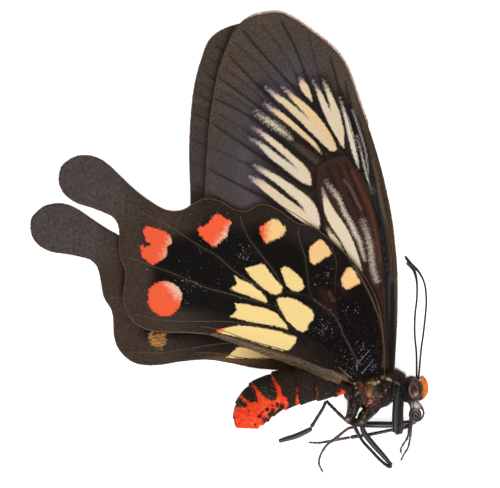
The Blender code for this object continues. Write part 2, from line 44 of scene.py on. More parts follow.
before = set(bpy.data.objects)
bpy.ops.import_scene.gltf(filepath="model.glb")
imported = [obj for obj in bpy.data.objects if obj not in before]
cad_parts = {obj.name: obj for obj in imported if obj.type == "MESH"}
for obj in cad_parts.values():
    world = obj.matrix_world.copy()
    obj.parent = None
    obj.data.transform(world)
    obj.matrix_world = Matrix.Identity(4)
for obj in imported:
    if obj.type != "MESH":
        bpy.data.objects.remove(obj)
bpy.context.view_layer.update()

MM = 0.001
PIXEL = 56.6 * MM / 377.0
ORIGIN_PIXEL = (229.5, 242.7)

# Wing stack, as in the solids: the middle of each membrane before its relief
LAYER_STEP = 1.05 * MM
LOWEST_LAYER = 0.25 * MM
ROOT_LIFT_LEFT = 0.95 * MM
ROOT_LIFT_RIGHT = 1.75 * MM
ROOT_REACH = 12 * MM
ROOTS_PIXEL = (375.0, 371.0)

FOREWING_ROOT = (390.0, 373.0)
FOREWING_FAR_TURN = math.radians(4.7)
FOREWING_EDGE = [
    (392, 378), (395, 350), (396.5, 319), (396.5, 271), (394, 242), (391, 217), (383, 179),
    (373, 143), (360, 105), (346, 67), (332, 48), (312, 32), (293, 19), (277, 13), (255, 16),
    (238, 26), (228, 45), (220, 67), (215, 89), (210.5, 118), (208, 143), (206.6, 172),
    (205.5, 199), (209, 217), (230, 240), (275, 279), (325, 324), (362, 360), (382, 382),
]
FOREWING_VEINS = {
    "subcosta": [(391, 368), (392.5, 320), (392.5, 268), (388, 222), (381, 185)],
    "radius": [(388, 368), (387, 320), (384, 268), (380, 225), (374, 199), (364, 176), (347, 155)],
    "radius_1": [(380, 225), (375, 185), (366, 148), (359, 118)],
    "radius_2": [(374, 199), (364, 160), (353, 115), (345, 82)],
    "radius_3": [(364, 176), (352, 135), (341, 95), (330, 58)],
    "radius_4": [(347, 155), (330, 128), (318, 109), (309, 85), (296, 50), (281, 21)],
    "radius_5": [(318, 109), (298, 92), (268, 60), (243, 31)],
    "media_1": [(335, 156), (298, 126), (262, 90), (229, 56)],
    "media_2": [(327, 159), (289, 134), (262, 110), (240, 93), (219, 78)],
    "media_3": [(316, 167), (278, 138), (257, 122), (236, 109), (215, 99)],
    "cubitus_1": [(315, 193), (270, 163), (236, 140), (213, 124)],
    "cubitus_2": [(323, 234), (290, 211), (254, 193), (216, 173), (209, 169)],
    "cell_rear": [(386, 368), (364, 325), (340, 278), (323, 234), (321, 214), (315, 193), (316, 167)],
    "cell_end": [(347, 155), (335, 156), (327, 159), (316, 167)],
    "anal": [(383, 372), (350, 338), (300, 290), (250, 246), (209, 212)],
}
# Folds half way between two veins, from the margin to where they fade
FOREWING_FOLDS = [
    [(235, 43), (262, 68), (287, 97), (313, 122)],
    [(224, 68), (250, 88), (280, 116), (300, 131)],
    [(216.5, 89), (240, 101), (262, 118), (285, 136)],
    [(214, 112), (236, 124), (256, 138), (276, 152.5), (299, 169.5)],
    [(209, 146), (232, 157), (255, 168), (275, 184), (302.5, 205)],
    [(207, 192), (232, 207), (255, 222), (285, 246)],
    [(262, 25), (283, 52), (303, 88)],
    [(308, 34), (322, 86), (331, 108)],
]

HINDWING_ROOT = (357.0, 372.0)
HINDWING_FAR_TURN = math.radians(9.6)
HINDWING_EDGE = [
    (344, 379.5), (360, 384), (380, 381), (384, 367), (383, 338), (378, 306), (367, 281), (349, 258),
    (332, 242), (319, 231), (309, 226), (297, 223), (281, 212), (268, 205.5), (258, 205.5),
    (246, 211.5), (234, 209.5), (220, 201.5), (207, 199), (195, 203), (185, 209.5), (174, 211.4),
    (163, 209), (148, 200), (135, 190), (122, 178), (109, 165.5), (99, 159), (89, 156), (77, 156.6),
    (68.5, 161), (62, 167), (59.5, 177), (60.5, 186), (66, 195), (77, 202.5), (91, 207), (104, 212),
    (113, 216.5), (118.5, 224), (120, 234), (120, 248), (121, 258), (125.5, 269), (126, 279),
    (124, 297), (127, 311), (136, 323), (148, 329), (164, 331.6), (189, 332), (212, 334.5),
    (235, 342), (259, 351), (300, 362), (325, 371.5),
]
HINDWING_VEINS = {
    "subcosta": [(362, 366), (376, 348), (378, 326), (372, 300), (360, 277), (349, 262)],
    "radius": [(334, 316), (335.4, 304), (334.7, 283), (336, 262), (331, 246)],
    "media_1": [(311, 298), (308, 283), (305, 258), (299, 239), (298, 228)],
    "media_2": [(285, 291), (275, 273), (262, 256), (250, 240), (243, 226), (240, 215)],
    "media_3": [(277, 297), (253, 283), (233, 270), (216, 255), (200, 246), (170, 226.5),
                (145, 214), (122, 200.5), (98, 184), (78, 174)],
    "cubitus_1": [(276, 306), (252, 300), (225, 292.5), (202, 286), (175, 274), (154, 266.5),
                  (126, 256.5)],
    "cubitus_2": [(300, 335), (280, 330), (260, 326), (240, 322.5), (220, 321), (192, 321), (164, 320),
                  (134, 314)],
    "anal": [(350, 374), (322, 362), (285, 350), (250, 340), (222, 330), (200, 326)],
    "cell_front": [(356, 368), (347.6, 342), (334, 316), (311, 298), (303, 295), (285, 291)],
    "cell_rear": [(352, 370), (328, 351), (300, 335), (286, 321), (276, 306)],
    "cell_end": [(285, 291), (277, 297), (276, 306)],
}


def linear(red, green, blue):
    """A colour as a screen shows it, from 0 to 255, as the light values that shaders take."""
    return tuple((v / 255 / 12.92) if v <= 10 else ((v / 255 + 0.055) / 1.055) ** 2.4
                 for v in (red, green, blue))


# Markings of the hindwing: cream patches, and spots as outline, the way their pale side looks
# in degrees, and how far from the middle, in pixels, the red ends
CREAM_PATCHES = [
    [(280.7, 268.4), (284.9, 266.3), (289.8, 268.4), (296.8, 274), (301.8, 279.6), (304.2, 287.4),
     (298.2, 291.6), (291.9, 290.2), (287, 286), (282.8, 276.1)],
    [(244.7, 268.3), (254.6, 265.9), (260.2, 263.8), (264.4, 264.5), (269.3, 271.5), (275.6, 279.9),
     (282.6, 286.9), (281.2, 292.5), (275.3, 294.6), (269.3, 292.5), (260.2, 285.5), (250.4, 276.4)],
    [(233.5, 275), (239.1, 278.5), (251.1, 284.1), (260.2, 291.1), (264.4, 295.4), (267.2, 299.6),
     (267, 303), (252, 297), (233, 290), (230, 288.3), (235.6, 285.5), (237, 282)],
    [(235, 303), (245.5, 304), (265, 308), (276, 313), (286, 324), (288, 329), (271, 325),
     (252, 322), (230, 316.5), (237, 310)],
    [(214.6, 330), (239, 325), (258, 327), (277, 330.5), (296.5, 337), (295, 343), (288, 350),
     (281, 350), (258, 343), (239, 337), (220, 333)],
    [(277, 299), (280, 297.2), (287.7, 297.2), (296.8, 300), (304.6, 304.9), (310.9, 309.1),
     (313.7, 314), (313, 319.6), (308.1, 323.9), (307, 329.5), (302, 332), (296.5, 329),
     (286, 319), (279, 306)],
]
SPOTS = [
    ([(143.8, 229.3), (148, 226.8), (152.9, 227.2), (159.9, 229.6), (168.3, 233.5), (171.1, 237.7),
      (172.5, 242.3), (167.6, 246.1), (166.9, 251.8), (166.2, 256.7), (159.9, 260.9), (154.3, 264.4),
      (150.1, 263), (143.1, 256.7), (141.3, 249.6), (139.9, 243.7), (145.2, 246.9), (150.1, 245.5),
      (150.8, 243.4), (145.9, 240.6)], -20, 12.5),
    ([(151.5, 286.5), (157, 282.6), (164.5, 281), (172, 283), (178.5, 287.3), (181.8, 294), (181.2, 301.5),
      (178.2, 308.5), (172.7, 313.8), (165.5, 316), (158, 314.3), (152.2, 309.6), (148.8, 303),
      (148.2, 294)], 40, 10.5),
    ([(197.7, 227.3), (204, 226.6), (209, 222.4), (216, 213.6), (220.9, 215.4), (229.3, 220.3),
      (231.8, 223.8), (228.6, 226.6), (227.2, 235), (221.6, 240.6), (213.9, 246.6), (206.8, 241.3),
      (200.5, 235.7)], -35, 9.0),
    ([(259.1, 227.3), (263, 225.2), (272.1, 219.2), (278.4, 221), (283.3, 226.6), (285.8, 230),
      (280.5, 237.1), (271.4, 240.6), (266.5, 243.4), (263.7, 241.3), (260.9, 234.3)], -3, -4.5),
    ([(309.1, 253), (310.2, 247.4), (316.5, 241.8), (320.7, 239.6), (324.9, 243.2), (329.1, 249.5),
      (330.9, 254.4), (324.9, 257.2), (319.3, 262.1), (313, 264.2), (310.2, 261.4)], 0, -99),
    ([(341.1, 280.4), (342.5, 275.4), (346.7, 268.4), (350.9, 268.1), (354.4, 271.9), (358.6, 279.6),
      (359.3, 283.2), (354.4, 285.3), (350.2, 287.7), (346, 289.1), (342.5, 286)], 0, -99),
]
# Rays of the forewing: tapering strokes from the outer tip inwards, as pixel and half width in
# pixels, how white (0 orange cream to 1 white), and how soft in mm
RAYS = [
    ([(300, 79, 1.0), (303.3, 85.6, 3.6), (307.4, 93.3, 3.0), (312, 101.5, 0.6)], 0.4, 0.16),
    ([(323, 80.5, 0.6), (326.1, 87.7, 2.0), (329.5, 95.8, 2.5), (333.1, 106, 3.2), (335.3, 114, 4.5),
      (336.6, 121.3, 4.6), (339.5, 131.5, 4.2), (341.3, 141.7, 2.6), (343.6, 147.8, 0.7)], 0.55, 0.15),
    ([(313, 81, 0.4), (317, 88.7, 1.4), (320.1, 95.8, 2.6), (324.2, 106, 3.2), (327.6, 113, 3.5),
      (331.6, 121.1, 3.8), (336.6, 131.3, 3.3), (340.8, 141.5, 2.0)], 0.7, 0.16),
    ([(340, 98.5, 0.4), (343, 108, 1.3), (346.1, 118.3, 1.9), (348.7, 128.5, 2.4), (351.5, 139.7, 2.7),
      (353.8, 150, 2.3), (356.2, 160, 1.6), (358.6, 168.5, 0.5)], 1.0, 0.2),
    ([(357, 136, 0.3), (361, 152, 0.7), (364.6, 168, 0.8), (367.6, 181, 0.4)], 1.0, 0.25),
    ([(282, 87.5, 0.5), (288, 92.5, 1.6), (293.5, 98, 2.6), (301.2, 105, 3.3), (308.6, 112.2, 3.9),
      (314.6, 119.2, 4.3), (319.8, 126.4, 4.8), (325.4, 134.8, 4.6), (330.4, 142.8, 3.9),
      (333.8, 148.6, 2.8)], 0.1, 0.15),
    ([(265, 87, 0.4), (271, 92, 1.5), (277, 97.5, 2.5), (284, 101.9, 3.0), (293, 110, 3.5),
      (303.3, 119.3, 3.8), (311, 126.5, 4.6), (318.5, 133.5, 4.6), (325.5, 141, 4.3), (331.5, 148, 3.2)],
     0.45, 0.17),
    ([(264.5, 104, 0.6), (269.5, 108, 1.9), (275.7, 111.8, 2.5), (283, 117.3, 2.8), (293, 125.5, 2.7),
      (303.3, 134.6, 2.5), (311.4, 141.7, 2.2), (317.6, 149, 1.4), (321.5, 154.5, 0.4)], 0.25, 0.17),
    ([(257, 113, 0.3), (264, 118.5, 1.2), (271, 123, 2.0), (277.5, 127.5, 2.2), (284.5, 133, 1.4),
      (291, 138.5, 0.4)], 0.8, 0.75),
    ([(252.5, 127.5, 0.4), (259.5, 131.7, 1.5), (267, 137.5, 2.5), (275.5, 144.5, 3.0), (285, 152.5, 3.1),
      (293, 160, 3.3), (301, 168, 4.0), (305.5, 175, 4.3), (308.8, 181.4, 2.4)], 0.6, 0.2),
    ([(250.5, 139, 0.5), (258, 143, 1.8), (263.5, 147.3, 2.7), (273.7, 156.5, 3.6), (284, 164.2, 3.7),
      (294, 171.8, 3.9), (301.5, 177.5, 4.0), (307, 181.5, 3.0), (310.5, 184.4, 1.0)], 0.85, 0.2),
    ([(254, 165, 0.6), (259, 168.5, 1.9), (263.5, 171.3, 2.6), (273.7, 177.5, 3.3), (284, 184.6, 4.0),
      (293, 191.7, 4.6), (301.2, 198, 5.0), (308.5, 206, 5.6), (313, 215, 5.4), (317, 224, 3.0)],
     0.7, 0.2),
    ([(249.5, 176, 0.7), (254, 180, 2.2), (259.4, 182.8, 3.5), (269.6, 190.7, 4.2), (279, 198, 4.3),
      (288, 205, 4.6), (297, 212, 5.0), (306, 219, 4.6), (314, 225.5, 3.0), (318.5, 229, 0.9)],
     0.55, 0.18),
    ([(322, 188, 0.5), (325.2, 199.5, 2.6), (328.5, 209.5, 4.5), (333.3, 219, 5.7), (340, 229, 6.0),
      (344.6, 236.6, 5.4), (348.8, 245, 5.1), (352, 252.7, 4.7), (355.3, 259.6, 3.6), (358.7, 265.7, 2.1),
      (362, 271.8, 0.5)], 0.75, 0.14),
    ([(327.3, 228.4, 0.8), (330.6, 235, 2.2), (335.2, 241.2, 2.5), (339, 246.6, 2.2), (343, 252.4, 1.2),
      (345.3, 255.8, 0.4)], 0.5, 0.14),
    ([(326.4, 183, 0.5), (332.1, 190, 1.2), (336.7, 196, 1.3), (341.3, 204.5, 1.1), (343.6, 211.4, 1.4),
      (348.2, 219, 1.4), (352, 226.7, 1.7), (355, 233.6, 1.8), (358.9, 240.4, 1.4), (361.2, 248.9, 1.0),
      (364.5, 260, 0.4)], 0.9, 0.5),
    ([(362.6, 222, 0.1), (367.3, 236, 0.4), (370, 247, 0.6), (371.3, 258, 0.6), (373, 270, 0.5),
      (376.5, 281, 0.1)], 0.9, 0.9),
]
# The outer end of a ray fades over so many mm, and over no more than this share of the ray
RAY_FADE = 2.8
RAY_FADE_SHARE = 0.3
FOREWING_CELL = [
    (347, 155), (335, 156), (327, 159), (316, 167), (315, 193), (323, 234), (345, 285), (386, 368),
    (388, 360), (387, 320), (384, 268), (380, 225), (374, 199), (364, 176),
]

# Colours of single places, as a screen shows them
TONES = {
    "hindwing_tail": (82, 76, 73), "hindwing_front": (13, 7, 6), "fold_gold": (120, 92, 56),
    "fold_dull": (84, 68, 52), "far_amber": (112, 80, 46), "far_spot": (190, 136, 78),
    # hindwing_glow, blue_glow and lilac_glow are colours of painted sheen
    "hindwing_glow": (74, 66, 60), "ray_lilac": (176, 158, 166), "forewing_cell": (56, 33, 26),
    # blue_haze and lilac_haze are painted sheen too
    "blue_haze": (58, 64, 76), "lilac_haze": (88, 76, 86), "blue_glow": (96, 108, 128),
    "lilac_glow": (140, 126, 144), "forewing_dull": (60, 54, 48), "forewing_vein": (34, 27, 24),
    # glint is the colour of painted highlights
    "glint": (206, 190, 178), "body": (44, 30, 22), "olive_scale": (150, 138, 92),
    "black": (18, 15, 16), "brown_hair": (80, 56, 42), "neck_hair": (88, 60, 44),
    "head_hair": (40, 30, 30), "crown_hair": (128, 88, 78), "chin_hair": (24, 20, 22),
    "fringe": (44, 34, 30), "apex_fringe": (216, 172, 150), "fur_gold": (146, 110, 60),
    "fur_grey": (170, 154, 144), "fur_pale": (190, 164, 118), "fur_dark": (40, 31, 26),
    "pearl": (104, 106, 150), "loose_scale": (188, 186, 180), "fibre": (176, 172, 172),
    "eye_middle": (34, 15, 14), "eye_warm": (112, 52, 32), "eye_socket": (98, 70, 58),
    "palp_foot": (24, 20, 24), "palp_pale": (255, 184, 104), "palp_dark": (18, 16, 22),
    # the pale proboscis tone is a painted reflection and the olive coil tone a painted highlight
    "proboscis_reflection": (226, 210, 204), "coil_highlight": (112, 88, 56), "coil_brown": (92, 74, 56),
    "feeler_band": (58, 52, 52), "feeler_tip": (96, 68, 52), "leg_worn": (104, 90, 82),
    "bristle": (40, 30, 28),
}

# Nothing lies lower over the floor than this
FLOOR_GAP = 0.01 * MM
UP = (0.0, 0.0, 1.0)
# Depth in a marking where there is none
OUTSIDE = -9.0


def tone(name):
    return linear(*TONES[name])


# Geometry helpers: places, curves and distances

def at(pixel_x, pixel_y, height=0.0):
    """A place in the photograph as a point of the model."""
    return Vector(((pixel_x - ORIGIN_PIXEL[0]) * PIXEL, (ORIGIN_PIXEL[1] - pixel_y) * PIXEL, height))


def flat(pixels):
    """Pixels as rows of flat points of the model."""
    return (np.array(pixels, float) - ORIGIN_PIXEL) * (PIXEL, -PIXEL)


def smooth_step(value):
    value = np.clip(value, 0.0, 1.0)
    return value * value * (3.0 - 2.0 * value)


def curve_through(points, step, closed=False):
    """Points along a smooth curve through the given ones, which it keeps, about a step apart."""
    points = np.array([tuple(point) for point in points], float)
    count = len(points)
    spans = count if closed else count - 1
    found = []
    for i in range(spans):
        start, end = points[i], points[(i + 1) % count]
        before = points[i - 1] if closed or i > 0 else start
        after = points[(i + 2) % count] if closed or i + 2 < count else end
        parts = max(1, round(float(np.linalg.norm(end - start)) / step))
        t = (np.arange(parts) / parts)[:, None]
        found.append(
            0.5 * (2 * start + (end - before) * t + (2 * before - 5 * start + 4 * end - after) * t ** 2
                   + (3 * start - before - 3 * end + after) * t ** 3)
        )
    if not closed:
        found.append(points[-1:])
    return np.vstack(found)


def distance(points, line, closed=False):
    """The shortest distance from each flat point to a run of straight lengths."""
    line = np.array(line, float)
    ends = np.roll(line, -1, axis=0) if closed else line[1:]
    starts = line if closed else line[:-1]
    best = np.full(len(points), np.inf)
    for start, end in zip(starts, ends):
        along = end - start
        share = np.clip((points - start) @ along / max(float(along @ along), 1e-18), 0.0, 1.0)
        gap = points - start - share[:, None] * along
        best = np.minimum(best, np.hypot(gap[:, 0], gap[:, 1]))
    return best


def inside(points, edge):
    found = np.zeros(len(points), bool)
    for start, end in zip(edge, np.roll(edge, -1, axis=0)):
        if start[1] == end[1]:
            continue
        crosses = (start[1] > points[:, 1]) != (end[1] > points[:, 1])
        across = start[0] + (points[:, 1] - start[1]) * (end[0] - start[0]) / (end[1] - start[1])
        found ^= crosses & (points[:, 0] < across)
    return found


def depth_in(points, edge):
    """How far each flat point lies inside a closed outline, below zero outside it."""
    edge = np.array(edge, float)
    return np.where(inside(points, edge), 1.0, -1.0) * distance(points, edge, closed=True)


def nearest_on(points, edge):
    """The nearest place on a closed outline to each flat point."""
    best = np.full(len(points), np.inf)
    place = np.array(points, float)
    for start, end in zip(edge, np.roll(edge, -1, axis=0)):
        along = end - start
        share = np.clip((points - start) @ along / max(float(along @ along), 1e-18), 0.0, 1.0)
        foot = start + share[:, None] * along
        gap = np.hypot(*(points - foot).T)
        place[gap < best] = foot[gap < best]
        best = np.minimum(best, gap)
    return place


def turned(points, root, turn):
    """Flat points turned about a wing's root."""
    pivot = flat([root])[0]
    spin = np.array([[math.cos(turn), -math.sin(turn)], [math.sin(turn), math.cos(turn)]])
    return pivot + (np.array(points, float) - pivot) @ spin.T


def unit(rows):
    return rows / np.maximum(np.linalg.norm(rows, axis=1), 1e-12)[:, None]


def away_from(points, pixel):
    """How far each point is from a place of the photograph, seen from above."""
    return np.hypot(*(points[:, :2] - flat([pixel])[0]).T)


def near(points, pixel, reach):
    """How close each point is to a place of the photograph: 1 there, fading with a reach in pixels."""
    return np.exp(-(away_from(points, pixel) / (reach * PIXEL)) ** 2)


def past(points, column, reach):
    """0 left of a column of the photograph, 1 from reach mm right of it; mirrored for a reach below 0."""
    return smooth_step((points[:, 0] - at(column, 0).x) / (reach * MM))


def millimetres_from(points, lines):
    """How many millimetres each flat point is from the nearest of the curves through these pixels."""
    return np.min([distance(points, curve_through(flat(line), MM)) for line in lines], axis=0) / MM


def millimetres_from_margin(points, edge):
    return distance(points, curve_through(flat(edge), MM, closed=True), closed=True) / MM


def run_lengths(line):
    """How far along a line each of its points lies."""
    return np.r_[0.0, np.cumsum(np.linalg.norm(np.diff(line, axis=0), axis=1))]


def within_parts(share, bounds):
    """For shares of a length, how far each is within its own part, from 0 to 1."""
    bounds = np.array(bounds)
    which = np.clip(np.searchsorted(bounds, share, side="right") - 1, 0, len(bounds) - 2)
    return (share - bounds[which]) / (bounds[which + 1] - bounds[which])


def ripple(points, size, seed):
    """Smooth noise from -1 to 1 whose features are about the given size."""
    shift = Vector((seed * 7.3, seed * 3.1, seed * 5.7))
    return np.array([noise.noise(Vector(tuple(point)).to_3d() / size + shift) for point in points])


# Mesh helpers

def keep_mesh(name, bm):
    mesh = bpy.data.meshes.new(name)
    bm.to_mesh(mesh)
    bm.free()
    return mesh


def new_object(name, data):
    obj = bpy.data.objects.new(name, data)
    bpy.context.scene.collection.objects.link(obj)
    return obj


def settled(obj):
    """The mesh that an object shows, with the object itself removed."""
    bpy.context.view_layer.update()
    graph = bpy.context.evaluated_depsgraph_get()
    mesh = bpy.data.meshes.new_from_object(obj.evaluated_get(graph))
    bpy.data.objects.remove(obj, do_unlink=True)
    return mesh


def add_piece(name, mesh, material, replaced=()):
    """Shows a finished mesh as a piece of the butterfly, in the place of the given nodes."""
    obj = new_object(name, mesh)
    mesh.materials.append(material)
    mesh.shade_smooth()
    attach(obj, "root")
    if replaced:
        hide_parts(*replaced)


def read(items, name, width=1, kind=float):
    """One property of each item of a mesh: one number, or a row of them."""
    found = np.empty(len(items) * width, kind)
    items.foreach_get(name, found)
    return found.reshape(-1, width) if width > 1 else found


def places(mesh):
    return read(mesh.vertices, "co", 3)


def normals(mesh):
    return read(mesh.vertex_normals, "vector", 3, np.float32).astype(float)


def set_places(mesh, co):
    mesh.vertices.foreach_set("co", np.asarray(co, np.float32).ravel())
    mesh.update()


def set_values(mesh, name, values):
    layer = mesh.attributes.new(name, "FLOAT", "POINT")
    layer.data.foreach_set("value", np.asarray(values, np.float32))


def set_colours(mesh, name, colours):
    layer = mesh.attributes.new(name, "FLOAT_COLOR", "POINT")
    filled = np.ones((len(mesh.vertices), 4), np.float32)
    filled[:, :3] = colours
    layer.data.foreach_set("color", filled.ravel())


def mixed(first, second, share):
    """Rows of colours, from the first to the second by each row's share; either may be one colour."""
    share = np.atleast_1d(np.asarray(share, float))[:, None]
    return np.asarray(first, float) * (1.0 - share) + np.asarray(second, float) * share


def tapered(rows, step):
    """A tube's points and radii, along the curve through rows of a place and a radius."""
    line = curve_through(rows, step)
    return line[:, :3], line[:, 3]


def tubes(name, lines, smoothness=1):
    """One mesh of closed tubes, each along its points with its radii."""
    curve = bpy.data.curves.new(name, "CURVE")
    curve.dimensions = "3D"
    curve.bevel_depth = 1.0
    curve.bevel_resolution = smoothness
    curve.use_fill_caps = True
    for points, radii in lines:
        spline = curve.splines.new("POLY")
        spline.points.add(len(points) - 1)
        filled = np.ones((len(points), 4))
        filled[:, :3] = points
        spline.points.foreach_set("co", filled.ravel())
        spline.points.foreach_set("radius", np.broadcast_to(radii, len(points)).astype(float))
    mesh = settled(new_object(name, curve))
    bm = bmesh.new()
    bm.from_mesh(mesh)
    bmesh.ops.remove_doubles(bm, verts=bm.verts, dist=1e-7)
    bmesh.ops.recalc_face_normals(bm, faces=bm.faces)
    bm.to_mesh(mesh)
    bm.free()
    return mesh


def joined(name, meshes):
    """One mesh of several, and for each of its vertices the number of the mesh it came from."""
    bm = bmesh.new()
    for mesh in meshes:
        bm.from_mesh(mesh)
    counts = [len(mesh.vertices) for mesh in meshes]
    return keep_mesh(name, bm), np.repeat(np.arange(len(meshes)), counts)


# Sizes and colours that a user would change

def length(label, text, millimetres):
    return FloatProperty(name=label, description=text, default=millimetres * MM, min=0.0,
                         unit="LENGTH", precision=5)


def shade(label, text, *screen):
    return FloatVectorProperty(name=label, description=text, default=linear(*screen), size=3,
                               subtype="COLOR", min=0.0, max=1.0)


class WingSettings(bpy.types.PropertyGroup):
    """Sizes and colours of the four wings"""

    pitch: length("Mesh pitch", "Distance between the points of a wing's mesh", 0.2)
    membrane: length("Membrane", "Thickness of a wing with its scales", 0.13)
    vein_root: length("Vein at the base", "Radius of a main vein at the wing base", 0.12)
    vein_tip: length("Vein at the margin", "Radius of a main vein at the margin", 0.085)
    rim: length("Rim", "Radius of the cord along the margin", 0.075)
    fringe: length("Fringe", "Length of the scales that stand out from the margin", 0.2)
    flute: length("Flutes", "How far the membrane dips and rises between veins", 0.07)
    forewing_ground: shade("Forewing ground", "Dark brown ground of the forewing", 82, 69, 59)
    forewing_dark: shade("Forewing bands", "Black of the bands along the veins", 26, 18, 18)
    hindwing_brown: shade("Hindwing brown", "Brown of the margin and along the veins", 68, 54, 46)
    hindwing_black: shade("Hindwing black", "Black between the spots and patches", 15, 11, 10)
    cream: shade("Cream", "Cream patches of the hindwing", 252, 221, 148)
    peach: shade("Peach", "Pale spots near the front edge", 253, 206, 140)
    red: shade("Red", "Red spots of the hindwing", 251, 98, 60)
    pink: shade("Pale red edge", "Pale scales at the edge of a red spot", 244, 198, 172)
    ray_white: shade("White rays", "White rays of the forewing", 232, 220, 200)
    ray_warm: shade("Warm rays", "Orange cream rays of the forewing", 240, 204, 150)
    vein: shade("Veins", "Veins of the hindwing", 108, 92, 70)
    rim_tan: shade("Rim", "Tan cord along the margin", 124, 90, 66)


class Graph:
    """A node tree with short calls: each makes one node, fills its inputs and returns its output."""

    def __init__(self, tree):
        self.tree = tree

    def node(self, kind, inputs=(), **settings):
        made = self.tree.nodes.new(kind)
        for name, value in settings.items():
            setattr(made, name, value)
        self.feed(made, inputs)
        return made

    def feed(self, made, inputs):
        """Fills a node's inputs, each with a value or from another node's output."""
        for name, value in dict(inputs).items():
            if isinstance(value, bpy.types.NodeSocket):
                self.tree.links.new(value, made.inputs[name])
            else:
                made.inputs[name].default_value = value

    def group(self, tree, inputs):
        return self.node("ShaderNodeGroup", inputs, node_tree=tree).outputs

    def math(self, operation, *values, clamp=False):
        made = self.node("ShaderNodeMath", enumerate(values), operation=operation, use_clamp=clamp)
        return made.outputs[0]

    def add(self, first, second):
        return self.math("ADD", first, second)

    def minus(self, first, second, clamp=False):
        return self.math("SUBTRACT", first, second, clamp=clamp)

    def times(self, first, second):
        return self.math("MULTIPLY", first, second)

    def stretched(self, place, factors):
        return self.node("ShaderNodeVectorMath", {0: place, 1: factors}, operation="MULTIPLY").outputs[0]

    def scaled(self, colour, share):
        return self.node("ShaderNodeVectorMath", {0: colour, "Scale": share}, operation="SCALE").outputs[0]

    def mix(self, share, first, second):
        return self.node("ShaderNodeMix", {0: share, 6: first, 7: second}, data_type="RGBA").outputs[2]

    def between(self, value, low, high, to_low=0.0, to_high=1.0):
        inputs = {0: value, 1: low, 2: high, 3: to_low, 4: to_high}
        return self.node("ShaderNodeMapRange", inputs, interpolation_type="SMOOTHSTEP").outputs[0]

    def noise(self, where, scale, detail=2.0, roughness=0.5):
        inputs = {"Vector": where, "Scale": scale, "Detail": detail, "Roughness": roughness}
        return self.node("ShaderNodeTexNoise", inputs).outputs[0]

    def cells(self, where, scale):
        return self.node("ShaderNodeTexVoronoi", {"Vector": where, "Scale": scale}).outputs

    def attribute(self, name, output="Fac"):
        return self.node("ShaderNodeAttribute", attribute_name=name).outputs[output]

    def here(self):
        return self.node("ShaderNodeTexCoord").outputs["Object"]

    def bump(self, height, reach, strength=1.0):
        inputs = {"Height": height, "Distance": reach, "Strength": strength}
        return self.node("ShaderNodeBump", inputs).outputs[0]


def new_group(name, inputs, outputs):
    """A shader node group, its graph, its input node's sockets and its output node."""
    tree = bpy.data.node_groups.new(name, "ShaderNodeTree")
    for label, kind in inputs:
        tree.interface.new_socket(name=label, in_out="INPUT", socket_type=kind)
    for label, kind in outputs:
        tree.interface.new_socket(name=label, in_out="OUTPUT", socket_type=kind)
    graph = Graph(tree)
    return tree, graph, graph.node("NodeGroupInput").outputs, graph.node("NodeGroupOutput")


def scale_rows():
    """Rows of overlapping wing scales: Lie is in millimetres, across and along the rows."""
    found = bpy.data.node_groups.get("scale_rows")
    if found:
        return found
    tree, graph, given, out = new_group(
        "scale_rows", [("Lie", "NodeSocketVector"), ("Width", "NodeSocketFloat")],
        [("Grain", "NodeSocketFloat"), ("Teeth", "NodeSocketFloat"), ("Relief", "NodeSocketFloat")])
    size = graph.math("DIVIDE", 1.0, given["Width"])
    scales = graph.cells(graph.stretched(given["Lie"], (1.0, 0.55, 1.0)), size)
    long_rows = graph.stretched(given["Lie"], (1.0, 0.45, 1.0))
    graph.feed(out, {
        "Grain": graph.noise(given["Lie"], graph.times(size, 0.8), 3.0, 0.7),
        "Teeth": graph.noise(long_rows, graph.times(size, 0.42), 2.0, 0.6),
        "Relief": graph.minus(1.0, graph.times(scales["Distance"], 1.4)),
    })
    return tree


def dust():
    """Sparse pale specks, as of lost scales and dust: Mask from 0 to 1 says where they lie."""
    found = bpy.data.node_groups.get("dust")
    if found:
        return found
    tree, graph, given, out = new_group(
        "dust", [("Place", "NodeSocketVector"), ("Mask", "NodeSocketFloat"), ("Size", "NodeSocketFloat")],
        [("Specks", "NodeSocketFloat")])
    specks = graph.cells(given["Place"], graph.math("DIVIDE", 1.0, given["Size"]))
    close = graph.between(specks["Distance"], 0.3, 0.1)
    chance = graph.node("ShaderNodeSeparateColor", {0: specks["Color"]}).outputs[0]
    kept = graph.between(graph.add(chance, given["Mask"]), 0.985, 1.0)
    graph.feed(out, {"Specks": graph.times(close, kept)})
    return tree


def new_material(name, specular, roughness):
    """A material, its graph and its shader, with its even gloss set on the shader itself."""
    material = bpy.data.materials.new(name)
    material.use_nodes = True
    graph = Graph(material.node_tree)
    shader = material.node_tree.nodes["Principled BSDF"]
    graph.feed(shader, {"Specular IOR Level": specular, "Roughness": roughness})
    return material, graph, shader


